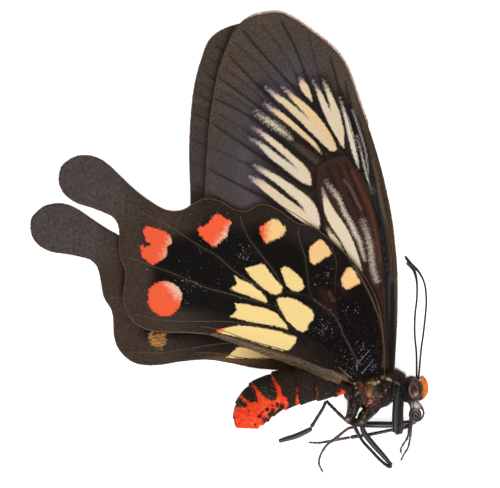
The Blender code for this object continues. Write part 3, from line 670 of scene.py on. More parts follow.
def wing_material(name, scale_width, blur):
    """Scaled membrane: ground and marking colours from the mesh, with toothed, grainy borders and painted
    sheen.
    """
    cfg = bpy.context.scene.butterfly_wings
    material, graph, shader = new_material(name, 0.07, 0.5)
    lie = graph.node("ShaderNodeUVMap", uv_map="Lie").outputs[0]
    scales = graph.group(scale_rows(), {"Lie": lie, "Width": scale_width})
    grain = graph.minus(scales["Grain"], 0.5)
    teeth = graph.minus(scales["Teeth"], 0.5)
    soft = graph.attribute("soft")
    both = graph.add(graph.times(grain, 1.4), graph.times(teeth, 2.4))
    patchy = graph.minus(graph.noise(lie, 3.2, 3.0, 0.6), 0.5)
    wear = graph.times(patchy, graph.attribute("wear"))
    edge = graph.add(graph.add(graph.attribute("mark"), graph.times(both, soft)), wear)
    holes = graph.between(graph.noise(lie, 5.5, 3.0, 0.7), 0.66, 0.74, 0.0, 0.55)
    marked = graph.between(edge, graph.times(soft, -blur), graph.times(soft, blur))
    red = graph.between(graph.add(graph.attribute("rosy"), graph.times(both, 1.1)), -0.8, 0.8)
    pale = graph.mix(red, graph.attribute("marking", "Color"), (*cfg.red, 1.0))
    coarse = graph.add(graph.times(grain, 0.4), graph.times(patchy, 0.3))
    pale = graph.scaled(pale, graph.add(1.0, coarse))
    uneven = graph.add(graph.times(both, 0.6), graph.times(patchy, 1.1))
    dark = graph.scaled(graph.attribute("ground", "Color"), graph.add(1.0, uneven))
    # Painted sheen: glints of the glow colour where the scale grain and the sheen attribute are high
    glint = graph.between(graph.add(scales["Grain"], graph.attribute("sheen")), 0.86, 1.3, 0.0, 0.7)
    dark = graph.mix(glint, dark, graph.attribute("glow", "Color"))
    colour = graph.mix(graph.minus(marked, holes, clamp=True), dark, pale)
    worn = {"Place": graph.here(), "Mask": graph.attribute("worn"), "Size": WING_DUST}
    specks = graph.times(graph.group(dust(), worn)["Specks"], 0.6)
    graph.feed(shader, {
        "Base Color": graph.mix(specks, colour, (0.36, 0.36, 0.35, 1.0)),
        "Normal": graph.bump(scales["Relief"], SCALE_RELIEF, 0.6),
        "Sheen Weight": 0.02,
    })
    return material


# Wings

# Rubbed places of the near hindwing, as pixel and reach in pixels
HINDWING_WORN = [
    ((190, 286), 9), ((243, 258), 9), ((200, 250), 7), ((372, 350), 20), ((330, 330), 22), ((352, 372), 12),
]
INNER_FOLD = [
    (211, 333.6), (222, 336.5), (238, 341.5), (263, 350.5), (295, 361.5), (322, 372), (342, 379),
]
# Half widths of the inner fold, in mm
INNER_FOLD_WIDTH = 0.9
INNER_FOLD_END_WIDTH = 0.2
# What the upper side of the far hindwing shows past the near one, in the photograph
FAR_SPOT = [(148.5, 333), (166, 332), (167, 343), (162, 348), (152, 347), (148, 340)]
FAR_PATCH = [(226, 357.5), (238, 347), (262, 350), (279, 357.5), (255, 358.5)]
FAR_AMBER = [(190, 356), (240, 360), (290, 362), (320, 370)]
# Middles of the painted bluish and lilac sheen of the forewing
BLUE_HAZE = [(292, 66), (256, 108), (234, 150), (236, 185)]
LILAC_HAZE = [(300, 76), (262, 118), (246, 160), (250, 200)]
# The tip of the cream patch that reddens
REDDENED_TIP = (214.6, 330)
# Where the near hindwing turns brown at its rear, black at its front and grey on its tail, and
# the far one amber: column of the photograph, and over how many mm
REAR_BROWN = (225, -10)
FRONT_BLACK = (300, 9)
TAIL_GREY = (150, -6)
AMBER_START = (184, 9)
# Columns of the photograph between which the inner fold widens
FOLD_COLUMNS = (212, 345)
# How the wings sink towards tip and tail: how deep, from where, and over how far
FOREWING_DROOP = (1.0 * MM, 4 * MM, 18 * MM)
HINDWING_DROOP = (2.0 * MM, 6.5 * MM, 13 * MM)
HINDWING_SAG = (0.4 * MM, -6 * MM, 9 * MM)
# Where the hindwing rides up over the hind leg, how high, and how far round it
OVER_LEG = (327.0, 376.0)
OVER_LEG_RISE = 1.5 * MM
OVER_LEG_REACH = 3.6 * MM
# Distance from the root at which the veins are as thin as at the margin
VEIN_TAPER = 38 * MM
# Slow waves of the membrane: height and size in mm, and seed
WAVES = ((0.09, 8, 5), (0.025, 2.5, 6))
# How high the inner fold rolls up on the near hindwing, and down on the far one
FOLD_ROLL = 0.4 * MM
FAR_FOLD_ROLL = -0.1 * MM
# Steps along an edge, a vein, the outline of a spot and a ray
EDGE_STEP = 0.3 * MM
VEIN_STEP = 0.5 * MM
SPOT_STEP = 0.4 * MM
RAY_STEP = 0.25 * MM
# Uneven tones of each wing: size and seed
HINDWING_CLOUDS = (2.2 * MM, 1)
FOREWING_CLOUDS = (2.6 * MM, 2)
# Where the veins of the hindwing grow clearer: how far from its root, and over how far
VEIN_CLEARING = ((10 * MM, 8 * MM), (16 * MM, 6 * MM))
# Row of the photograph from which the tail pales, and over how far
TAIL_ROW = 236
TAIL_REACH = 4 * MM
# Half the width of a wing, over which its rim is drawn inwards
WING_HALF = 20 * MM
# How high the scales stand out, and the size of the dust on them
SCALE_RELIEF = 0.02 * MM
WING_DUST = 0.17 * MM
# Width of the scales, and how soft the borders of the markings are
HINDWING_SCALES = (0.12, 0.3)
FOREWING_SCALES = (0.07, 0.75)
# Streaks of a wing's ground: line, half width in mm, colour, strength; two of the forewing's are painted
# highlights
FOREWING_STREAKS = [
    ([(337, 165), (352, 200), (366, 240), (375, 285)], 0.2, (34, 18, 15), 0.85),
    ([(341.5, 165), (356.5, 200), (370, 240), (378, 290)], 0.2, (92, 42, 28), 0.55),
    ([(346, 165), (360, 200), (372.5, 240), (380, 290)], 0.18, (30, 16, 14), 0.9),
    ([(352, 172), (365, 198), (371, 212), (376, 235), (380, 262)], 0.26, (104, 58, 34), 0.7),
    ([(343.6, 180), (348.6, 186), (353.5, 195), (358, 204.5), (361.2, 209)], 0.13, (118, 98, 100), 0.7),
    ([(328, 168), (334, 184), (342, 200), (350, 214), (358, 232), (366, 258)], 0.2, (26, 14, 12), 0.85),
    ([(349, 106), (357, 133), (363, 155), (368, 180), (374, 206), (381, 236), (385, 265)],
     0.3, (20, 16, 17), 0.9),
    ([(364, 108), (374, 140), (381, 172), (387, 205), (391, 240), (393, 272)], 0.75, (60, 47, 34), 0.8),
    ([(372, 160), (377, 180), (382.6, 210.6), (387.2, 222.8), (389.5, 233.6), (391, 245), (391.8, 256.5),
      (393, 283)], 0.11, (118, 97, 68), 0.65),
    # painted highlight: the silver line along a costal vein
    ([(352, 110), (360, 133), (366, 155), (368.1, 180), (371.2, 190), (375, 203), (377.3, 211)], 0.1,
     (196, 190, 188), 0.75),
    ([(373.5, 196), (380, 220), (384, 241), (386.5, 265), (388, 290), (389.5, 330), (390, 372)], 0.5,
     (17, 15, 17), 0.94),
    ([(392, 284), (392.6, 310), (392.6, 340), (391.6, 366)], 0.34, (22, 17, 17), 0.9),
    # painted highlight: a thin blue-grey line along the costa
    ([(380, 227), (382.6, 241), (384.2, 256.5), (388, 271.8), (388.8, 287), (388.5, 320), (388, 360)],
     0.05, (68, 82, 102), 0.55),
    ([(362, 250), (371, 280), (378, 315)], 0.5, (34, 20, 18), 0.7),
    ([(370, 279), (372.5, 283), (374, 287)], 0.26, (40, 50, 68), 0.45),
]
HINDWING_STREAKS = [
    ([(349, 258), (363, 282), (372, 300), (378.5, 318)], 0.09, (140, 110, 85), 0.6),
    ([(313.3, 299.2), (334.2, 315.8), (345, 338), (357.5, 362.5), (356.8, 370)], 0.045, (150, 140, 135),
      0.5),
    ([(379, 318), (382, 335), (383.5, 352), (382, 366)], 0.14, (112, 84, 66), 0.6),
    ([(322, 292), (327, 304), (331, 312)], 0.7, (58, 30, 20), 0.6),
    ([(329, 292), (333, 301)], 0.24, (108, 72, 60), 0.5),
    ([(340, 283), (344, 292)], 0.6, (46, 28, 18), 0.6),
]


def streaked(ground, points, streaks):
    for line, half, colour, strength in streaks:
        away = millimetres_from(points, [line]) / half
        ground = mixed(ground, linear(*colour), strength * np.exp(-away * away))
    return ground


def fold_share(points):
    """How far along the inner fold each flat point lies: 0 at its thin rear end, 1 at the base."""
    thin, wide = (at(column, 0).x for column in FOLD_COLUMNS)
    return np.clip((points[:, 0] - thin) / (wide - thin), 0.0, 1.0)


def fold_width(points):
    return INNER_FOLD_END_WIDTH + (INNER_FOLD_WIDTH - INNER_FOLD_END_WIDTH) * fold_share(points) ** 0.6


def spotted(points, cfg):
    """Cream patches and red or peach spots: how deep in a marking, its colour, softness and redness."""
    mark = np.full(len(points), OUTSIDE)
    rosy = np.full(len(points), -1.0)
    soft = np.full(len(points), 0.28)
    marking = np.tile(np.array(cfg.cream), (len(points), 1))
    for patch in CREAM_PATCHES:
        mark = np.maximum(mark, depth_in(points, flat(patch)) / MM)
    for i, (outline, way, reach) in enumerate(SPOTS):
        depth = depth_in(points, curve_through(flat(outline), SPOT_STEP, closed=True)) / MM
        nearer = depth > mark
        middle = flat(outline).mean(axis=0)
        looks = np.array([math.cos(math.radians(way)), math.sin(math.radians(way))])
        redness = (reach * PIXEL - (points - middle) @ looks) / MM
        marking[nearer] = cfg.pink if i < 3 else cfg.peach
        soft[nearer] = 0.42
        rosy[nearer] = redness[nearer]
        mark = np.maximum(mark, depth)
    rosy = np.maximum(rosy, 1.1 - away_from(points, REDDENED_TIP) / MM)
    return mark, marking, soft, rosy


def hindwing_marks(points, upper):
    """What the hindwing's scales show at each flat point, and duller on its upper side."""
    cfg = bpy.context.scene.butterfly_wings
    mark, marking, soft, rosy = spotted(points, cfg)
    rim = millimetres_from_margin(points, HINDWING_EDGE)
    vein = millimetres_from(points, HINDWING_VEINS.values())
    uneven = ripple(points, *HINDWING_CLOUDS)
    rear = past(points, *REAR_BROWN)
    brown = (1.0 - smooth_step((rim - 1.0 - 1.4 * rear + 0.9 * uneven) / 3.2)) * (0.36 + 0.64 * rear)
    along_vein = 0.14 * (1.0 - smooth_step((vein - 0.05) / 0.6))
    brown = np.maximum(brown, along_vein * (1.0 - smooth_step((rim - 6) / 6)))
    ground = mixed(cfg.hindwing_black, cfg.hindwing_brown, brown)
    tail = past(points, *TAIL_GREY) * smooth_step((points[:, 1] - at(0, TAIL_ROW).y) / TAIL_REACH)
    ground = mixed(ground, tone("hindwing_tail"), 0.6 * tail)
    ground = mixed(ground, tone("hindwing_front"), past(points, *FRONT_BLACK) * 0.95)
    ground = streaked(ground, points, HINDWING_STREAKS)
    fold = millimetres_from(points, [INNER_FOLD])
    wide = fold_width(points)
    furred = (1.0 - smooth_step((fold - 0.6 * wide) / (0.5 * wide))) * (fold_share(points) > 0)
    golden = tone("fold_dull") if upper else tone("fold_gold")
    ground = mixed(ground, golden, 0.9 * furred)
    mark = mark - 4.0 * furred
    if upper:
        shown = turned(points, HINDWING_ROOT, HINDWING_FAR_TURN)
        amber = 1.0 - smooth_step((distance(shown, flat(FAR_AMBER)) / MM - 0.15) / 1.0)
        ground = mixed(ground, tone("far_amber"), 0.6 * amber * past(shown, *AMBER_START))
        spot = depth_in(shown, flat(FAR_SPOT)) / MM
        patch = depth_in(shown, flat(FAR_PATCH)) / MM
        mark = np.maximum(np.minimum(spot - 0.2, 0.12), patch)
        marking = np.where((spot > patch)[:, None], tone("far_spot"), cfg.cream)
        soft = np.where(spot > patch, 1.0, 0.3)
        rosy = -1.0
    worn = 0.32 * sum(near(points, pixel, reach) for pixel, reach in HINDWING_WORN)
    ground *= (1.0 + 0.16 * uneven)[:, None]
    # sheen and glow say where and in what colour the sheen is painted
    return {"mark": mark, "rosy": rosy, "soft": soft, "marking": marking, "ground": ground, "wear": 0.1,
            "sheen": 0.1, "glow": tone("hindwing_glow"), "worn": worn, "vein": vein, "fold": fold / wide}


def rayed(points, cfg):
    """The pale rays, which fade and turn lilac outwards: how deep in one, its colour and softness."""
    root = flat([FOREWING_ROOT])[0]
    reach = away_from(points, FOREWING_ROOT)
    mark = np.full(len(points), OUTSIDE)
    soft = np.full(len(points), 0.25)
    white = np.zeros(len(points))
    fading = np.zeros(len(points))
    for stroke, whiteness, softness in RAYS:
        line = curve_through([(*at(x, y)[:2], half * PIXEL) for x, y, half in stroke], RAY_STEP)
        far_end = math.dist(root, line[0, :2])
        fade_length = min(RAY_FADE * MM, RAY_FADE_SHARE * (far_end - math.dist(root, line[-1, :2])))
        fade = smooth_step((reach - far_end + fade_length) / fade_length)
        depth = np.full(len(points), OUTSIDE)
        for x, y, half in line:
            depth = np.maximum(depth, (half - np.hypot(points[:, 0] - x, points[:, 1] - y)) / MM)
        depth -= 0.08 * fade
        nearer = depth > mark
        white[nearer] = whiteness
        soft[nearer] = softness + 0.3 * fade[nearer]
        fading[nearer] = fade[nearer]
        mark = np.maximum(mark, depth)
    marking = mixed(cfg.ray_warm, cfg.ray_white, white)
    return mark, mixed(marking, tone("ray_lilac"), 0.75 * fading), soft


def forewing_marks(points, upper):
    """What the forewing's scales show at each flat point, and duller on its upper side."""
    cfg = bpy.context.scene.butterfly_wings
    mark, marking, soft = rayed(points, cfg)
    near_ray = smooth_step(1.0 + mark / 2.0)
    rim = millimetres_from_margin(points, FOREWING_EDGE)
    vein = millimetres_from(points, FOREWING_VEINS.values())
    fold = millimetres_from(points, FOREWING_FOLDS)
    uneven = ripple(points, *FOREWING_CLOUDS)
    ground = np.array(cfg.forewing_ground) * (1.0 + 0.12 * uneven)[:, None]
    cell = depth_in(points, flat(FOREWING_CELL)) / MM
    ground = mixed(ground, tone("forewing_cell"), 0.9 * smooth_step((cell + 0.3) / 0.9))
    wide = 0.36 + 0.5 * near_ray
    bands = np.maximum(1.0 - smooth_step(vein / wide), 0.7 * (1.0 - smooth_step(fold / (0.8 * wide))))
    inner = smooth_step((rim - 0.3) / 2.0)
    black = np.clip(bands * (0.75 + 0.25 * near_ray) * (0.5 + 0.5 * inner), 0, 1)
    ground = mixed(ground, cfg.forewing_dark, black)
    ground = mixed(ground, cfg.forewing_dark, 0.85 * near_ray * (cell < 0.2))
    # Painted sheen: bluish and lilac haze mixed into the ground, which also sets where the painted glints
    # fall
    haze = distance(points, flat(BLUE_HAZE)) / MM
    bluish = np.exp(-(haze / 4.2) ** 2) * (1.0 - 0.8 * bands)
    haze = distance(points, flat(LILAC_HAZE)) / MM
    lilac = np.exp(-(haze / 2.6) ** 2) * (1.0 - 0.75 * bands)
    ground = mixed(ground, tone("blue_haze"), 0.42 * bluish)
    ground = mixed(ground, tone("lilac_haze"), 0.35 * lilac)
    ground = streaked(ground, points, FOREWING_STREAKS)
    # Colour of the painted sheen, bluish turning lilac
    glow = mixed(tone("blue_glow"), tone("lilac_glow"), np.clip(1.2 * lilac - 0.2, 0, 1))
    if upper:
        ground = mixed(ground, tone("forewing_dull"), 0.5)
    return {"mark": mark, "rosy": -1.0, "soft": soft, "marking": marking, "ground": ground, "wear": 0.3,
            "sheen": 0.1 + 0.16 * bluish + 0.2 * lilac, "glow": glow, "worn": 0.1 * bluish,
            "vein": vein, "fold": fold}


def wing_height(points, layer, root_lift):
    """The middle of a wing's membrane: its layer of the stack, rising to the wing bases."""
    rise = 1.0 - smooth_step(away_from(points, ROOTS_PIXEL) / ROOT_REACH)
    return LOWEST_LAYER + layer * LAYER_STEP + root_lift * rise


def sunk(along, depth, start, reach):
    """How far a wing sinks at these distances along it."""
    return depth * smooth_step((along - start) / reach)


def forewing_height(points, layer, root_lift):
    return wing_height(points, layer, root_lift) - sunk(points[:, 1], *FOREWING_DROOP)


def hindwing_right_height(points):
    droop = sunk(-points[:, 0], *HINDWING_DROOP)
    sag = sunk(points[:, 1], *HINDWING_SAG)
    away = away_from(points, OVER_LEG) / OVER_LEG_REACH
    return wing_height(points, 3, ROOT_LIFT_RIGHT) - droop - sag + OVER_LEG_RISE * np.exp(-away * away)


class Wing:
    """What a wing is made from. Its turn is about its root, and the near ones show their undersides."""

    def __init__(self, name, height, turn, near_side):
        self.name, self.height, self.turn, self.near_side = name, height, turn, near_side
        self.slot = name.split("_")[0]
        self.hind = self.slot == "hindwing"
        self.edge = HINDWING_EDGE if self.hind else FOREWING_EDGE
        self.veins = HINDWING_VEINS if self.hind else FOREWING_VEINS
        self.root = HINDWING_ROOT if self.hind else FOREWING_ROOT
        self.marks = hindwing_marks if self.hind else forewing_marks

    def laid(self, points):
        """Flat points of the near wing's outline or veins, in this wing's own place and height."""
        points = turned(points, self.root, self.turn)
        return np.column_stack((points, self.height(points)))


WINGS = (
    Wing("forewing_left", lambda points: forewing_height(points, 1, ROOT_LIFT_LEFT),
         FOREWING_FAR_TURN, False),
    Wing("forewing_right", lambda points: forewing_height(points, 2, ROOT_LIFT_RIGHT), 0.0, True),
    Wing("hindwing_left", lambda points: wing_height(points, 0, ROOT_LIFT_LEFT),
         HINDWING_FAR_TURN, False),
    Wing("hindwing_right", hindwing_right_height, 0.0, True),
)


def sheet(edge, pitch):
    """A flat sheet of small squares cut to an outline, doubled so that it can have a thickness."""
    low, high = edge.min(axis=0) - pitch, edge.max(axis=0) + pitch
    cells = np.ceil((high - low) / pitch).astype(int)
    bm = bmesh.new()
    bmesh.ops.create_grid(bm, x_segments=int(cells[0]), y_segments=int(cells[1]), size=0.5)
    bmesh.ops.scale(bm, verts=bm.verts, vec=(*(high - low), 1.0))
    bmesh.ops.translate(bm, verts=bm.verts, vec=(*(high + low) / 2, 0.0))
    depth = depth_in(np.array([vert.co[:2] for vert in bm.verts]), edge)
    outside = [vert for vert, d in zip(bm.verts, depth) if d < -0.4 * pitch]
    bmesh.ops.delete(bm, geom=outside, context="VERTS")
    loose = [vert for vert in bm.verts if not vert.link_faces]
    bmesh.ops.delete(bm, geom=loose, context="VERTS")
    rim = [vert for vert in bm.verts if vert.is_boundary]
    for vert, foot in zip(rim, nearest_on(np.array([vert.co[:2] for vert in rim]), edge)):
        vert.co = (*foot, 0.0)
    side = bm.verts.layers.float.new("side")
    grown = bmesh.ops.extrude_face_region(bm, geom=bm.faces[:], use_keep_orig=True)
    for item in grown["geom"]:
        if isinstance(item, bmesh.types.BMVert):
            item[side] = 1.0
            item.co.z = pitch
    bmesh.ops.recalc_face_normals(bm, faces=bm.faces)
    return bm


def set_lie(mesh, points, root):
    """The map of the scale rows: across them and along them, in millimetres."""
    away = (points - flat([root])[0]) / MM
    turn = np.unwrap(np.arctan2(away[:, 1], away[:, 0]) % math.tau)
    lie = np.column_stack((30.0 * turn, np.hypot(*away.T)))
    corners = read(mesh.loops, "vertex_index", kind=int)
    layer = mesh.uv_layers.new(name="Lie")
    layer.data.foreach_set("uv", lie[corners].astype(np.float32).ravel())


def wing_ribs(wing, near_edge):
    """Tubes along the veins, and one along the margin a little inside it."""
    cfg = bpy.context.scene.butterfly_wings
    veins = []
    for vein in wing.veins.values():
        line = curve_through(flat(vein), VEIN_STEP)
        share = np.linspace(0, 1, len(line))
        outer = smooth_step(away_from(line, wing.root) / VEIN_TAPER)
        size = cfg.vein_root + (cfg.vein_tip - cfg.vein_root) * outer
        size = size * (1.0 - 0.12 * share) * (0.3 + 0.7 * smooth_step(share / 0.08))
        veins.append((wing.laid(line), size))
    rim = np.vstack((near_edge, near_edge[:1]))
    rim = rim + 0.6 * cfg.rim * (rim.mean(axis=0) - rim) / WING_HALF
    return tubes(wing.name + "_veins", veins), tubes(wing.name + "_rim", [(wing.laid(rim), cfg.rim)])


def set_wing_looks(mesh, wing, kind, points, looks_up, seen, dull):
    """Marks and colours of each vertex: kind is 0 on the membrane, 1 on veins, 2 on the rim."""
    cfg = bpy.context.scene.butterfly_wings
    upper = looks_up != wing.near_side
    for label in ("mark", "rosy", "soft", "wear", "sheen", "worn"):
        plain = OUTSIDE if label == "mark" else 0.1
        set_values(mesh, label, np.where(kind > 0, plain, np.where(upper, dull[label], seen[label])))
    shades = {label: np.where(upper[:, None], dull[label], seen[label])
              for label in ("ground", "marking", "glow")}
    if wing.hind:
        away = away_from(points, wing.root)
        clear = 0.02 + sum(0.3 * smooth_step((away - start) / reach) for start, reach in VEIN_CLEARING)
        shades["ground"][kind == 1] = mixed(shades["ground"], cfg.vein, clear)[kind == 1]
    else:
        shades["ground"][kind == 1] = tone("forewing_vein")
    shades["ground"][kind == 2] = cfg.rim_tan
    for label, values in shades.items():
        set_colours(mesh, label, values)


def make_wing(wing):
    """A thin fluted membrane with raised veins and a corded rim, its markings on both sides."""
    cfg = bpy.context.scene.butterfly_wings
    near_edge = curve_through(flat(wing.edge), EDGE_STEP, closed=True)
    bm = sheet(turned(near_edge, wing.root, wing.turn), cfg.pitch)
    membrane = keep_mesh(wing.name + "_membrane", bm)
    mesh, kind = joined(wing.name, [membrane, *wing_ribs(wing, near_edge)])

    co = places(mesh)
    points = turned(co[:, :2], wing.root, -wing.turn)
    height = wing.height(co[:, :2])
    side = read(mesh.attributes["side"].data, "value", kind=np.float32)
    looks_up = np.where(kind == 0, side > 0.5, co[:, 2] > height)
    seen = wing.marks(points, False)
    set_wing_looks(mesh, wing, kind, points, looks_up, seen, wing.marks(points, True))
    set_lie(mesh, points, wing.root)

    flute = (1.0 - smooth_step(seen["vein"] / 1.3)) - (1.0 - smooth_step(seen["fold"] / 1.3))
    wave = sum(high * MM * ripple(points, size * MM, seed) for high, size, seed in WAVES)
    middle = height + cfg.flute * flute + wave
    if wing.hind:
        share = fold_share(points)
        roll = (1.0 - smooth_step(seen["fold"])) * smooth_step(share / 0.25)
        middle += (FOLD_ROLL if wing.near_side else FAR_FOLD_ROLL) * roll * (0.3 + 0.7 * share)
    half = np.where(side > 0.5, 0.5, -0.5) * cfg.membrane
    co[:, 2] = np.maximum(middle + np.where(kind == 0, half, co[:, 2] - height), FLOOR_GAP)
    set_places(mesh, co)
    material = wing_material(wing.name, *(HINDWING_SCALES if wing.hind else FOREWING_SCALES))
    add_piece(wing.name + "_wing", mesh, material, [wing.name])


class BUTTERFLY_OT_forewings(bpy.types.Operator):
    """Makes both forewings, with veins, rays and folds"""

    bl_idname = "butterfly.forewings"
    bl_label = "Forewings"

    def execute(self, context):
        for wing in WINGS[:2]:
            make_wing(wing)
        return {"FINISHED"}


class BUTTERFLY_OT_hindwings(bpy.types.Operator):
    """Makes both hindwings, with veins, cream patches and red spots"""

    bl_idname = "butterfly.hindwings"
    bl_label = "Hindwings"

    def execute(self, context):
        for wing in WINGS[2:]:
            make_wing(wing)
        return {"FINISHED"}


# Body: sections as pixel centre, half height in pixels, and half width in millimetres
BODY_HEIGHT = 3.1 * MM
ABDOMEN_HEIGHT = 3.3 * MM
THORAX = [
    ((344.5, 388.5), 7.5, 1.2), ((349, 389), 12.0, 1.9), ((356, 389.5), 15.5, 2.6),
    ((365, 390), 18.6, 3.05), ((374, 389.3), 19.8, 3.2), ((383, 387), 17.8, 3.05),
    ((391, 384.2), 15.4, 2.5), ((397.5, 383.5), 13.0, 1.9), ((401.5, 384.5), 9.0, 1.3),
]
# Bases of the hind and middle legs: pixel, offset from the middle in mm, radius in mm
COXA_HIND = [
    (356, 392, 1.2, 1.2), (354.2, 403, 1.15, 1.1), (351.9, 411, 1.05, 0.84), (349.6, 416, 0.95, 0.66),
    (347.4, 419.3, 0.9, 0.56), (346.2, 421, 0.9, 0.3),
]
COXA_MID = [
    (376, 399, 1.3, 1.25), (368.6, 410.5, 1.1, 1.02), (363.6, 416, 0.95, 0.86), (361, 421, 0.9, 0.72),
    (359.6, 424.2, 0.85, 0.45),
]
# What joins the leg bases on the near side: pixel, offset from the middle in mm, radius in mm
JOINING = [
    (346.4, 419.6, 0.9, 0.5), (352.6, 420.8, 0.85, 0.6), (358.4, 422.4, 0.8, 0.6),
    (364.8, 423.4, 0.6, 0.42),
]
# Each with the sides it is on, 1 the near one, and the step along it
LEG_BASES = ((COXA_HIND, (1, -1), 0.5 * MM), (COXA_MID, (1, -1), 0.5 * MM), (JOINING, (1,), 0.3 * MM))
# Plates that swell out of the thorax on both sides: pixel, half sizes in mm, and offset from the
# middle in mm
PLATES = [
    ((374, 388.5), (1.35, 1.25, 0.45), 2.7), ((371.5, 400.5), (1.1, 0.95, 0.5), 2.3),
    ((361, 393), (0.6, 1.8, 0.42), 2.35), ((385, 391), (0.7, 1.4, 0.42), 2.5),
    ((352, 401), (0.55, 1.5, 0.4), 1.75), ((389, 377), (0.7, 0.5, 0.4), 2.0),
    ((354, 382), (0.32, 0.26, 0.28), 2.3), ((373, 381), (0.62, 0.22, 0.3), 2.85),
    ((366, 381), (0.3, 0.24, 0.3), 2.7), ((379, 379.5), (0.34, 0.24, 0.3), 2.75),
    ((387.5, 378), (0.42, 0.2, 0.28), 2.55), ((405.4, 394.2), (0.66, 1.05, 0.5), 0.3),
]
# Grooves between the plates, in pixels; the skin sinks along them and is painted darker there as shade
SUTURES = [
    [(349, 377), (358, 384), (364, 388), (363, 400), (357, 412)],
    [(366, 381), (366, 392), (362, 404), (367, 414)],
    [(366, 396), (374, 398), (383, 397), (391, 393)],
    [(382, 379), (381, 388), (384, 397), (379, 407)],
    [(391, 371), (392, 382), (391, 396)],
    [(352, 385), (351, 396), (348, 408)],
]
ABDOMEN = [
    ((346, 388.5), 6.0, 1.0), ((340, 386), 10.5, 1.6), ((327, 383.5), 15.5, 2.0),
    ((311, 384), 17.4, 2.2), ((294, 386.5), 19.3, 2.2), ((276, 391.5), 20.3, 2.2),
    ((260, 400.5), 20.5, 2.2), ((251.5, 412), 18.8, 2.0), ((248, 421), 15.5, 1.7),
    ((247.5, 427.5), 11.0, 1.1),
]
# The abdomen's segments, as shares of its length, and how far each swells over the next
ABDOMEN_LENGTH = 17.5
SEGMENT_SHARES = (0.0, 0.1, 0.27, 0.42, 0.58, 0.73, 0.85, 0.94, 1.0)
SEGMENT_STEP = 0.05
HEAD_PIXEL = (411.5, 388.5)
HEAD_HALF = (1.15, 1.75, 1.35)
NECK_PIXEL = (405.0, 386.5)
NECK_HALF = (0.75, 1.1, 1.1)
# The body's middle, from the abdomen's tip to the face
BODY_AXIS = [
    (247.5, 428), (251.5, 412), (260, 400.5), (276, 391.5), (294, 386.5), (311, 384), (327, 383.5),
    (346, 388.5), (374, 393), (401, 385), (411, 388), (427, 388),
]

# Red of the abdomen
RED_AREAS = [
    [(237.5, 391.5), (239, 392.5), (245.5, 398), (250, 401.5), (258, 401), (256.5, 391.5), (250.4, 381.2),
     (252.4, 383), (258.5, 389.8), (264.8, 396.5), (271.4, 400.2), (276.4, 398), (277.8, 394),
     (275.6, 386.5), (269.6, 371.4), (275, 379.5), (280, 386.5), (282.4, 394.8), (286.6, 397.3),
     (288.2, 403.9), (285.7, 409.4), (282.6, 409.2), (284, 403.6), (281.2, 401.6), (278.6, 406.6),
     (275.6, 411.6), (273.7, 409.7), (271.4, 408.9), (268.9, 412.2), (270.2, 416.6), (268, 418),
     (264, 415.7), (262.3, 416.4), (263.1, 421.3), (265.8, 427.1), (264.5, 431), (260.7, 425.7),
     (258.2, 428), (255.7, 431), (236.4, 427), (235, 418), (231.5, 412.2), (231.5, 408.9), (237.4, 406),
     (246, 406.2), (248.5, 404), (243.5, 400.3), (238, 395)],
    [(296.2, 396), (297.2, 396), (298.4, 400), (298.4, 403.6), (296.4, 405), (295.8, 401)],
    [(336.6, 393), (340, 391.5), (341, 389), (344, 389.2), (344.6, 392), (341.5, 395.2), (338.5, 395)],
]
# Thin red rings between the abdomen's segments: line, half width in mm
RED_RINGS = [
    ([(316.4, 384), (317, 391), (316.5, 398)], 0.0),
    ([(296.5, 387), (297.2, 394), (297.4, 402)], 0.02),
]
# Black dots in the red: pixel and radius in pixels
BLACK_DOTS = [
    ((267.3, 408.6), 2.1), ((259.5, 415), 2.3), ((277.5, 403.8), 2.2), ((255.4, 423.7), 1.4),
    ((265.6, 419.5), 3.2), ((270.3, 414.5), 2.6), ((272.8, 409.5), 2.4), ((282.4, 406.6), 2.4),
    ((262.5, 411), 1.2), ((249, 410), 1.1), ((272.6, 405), 1.2),
]
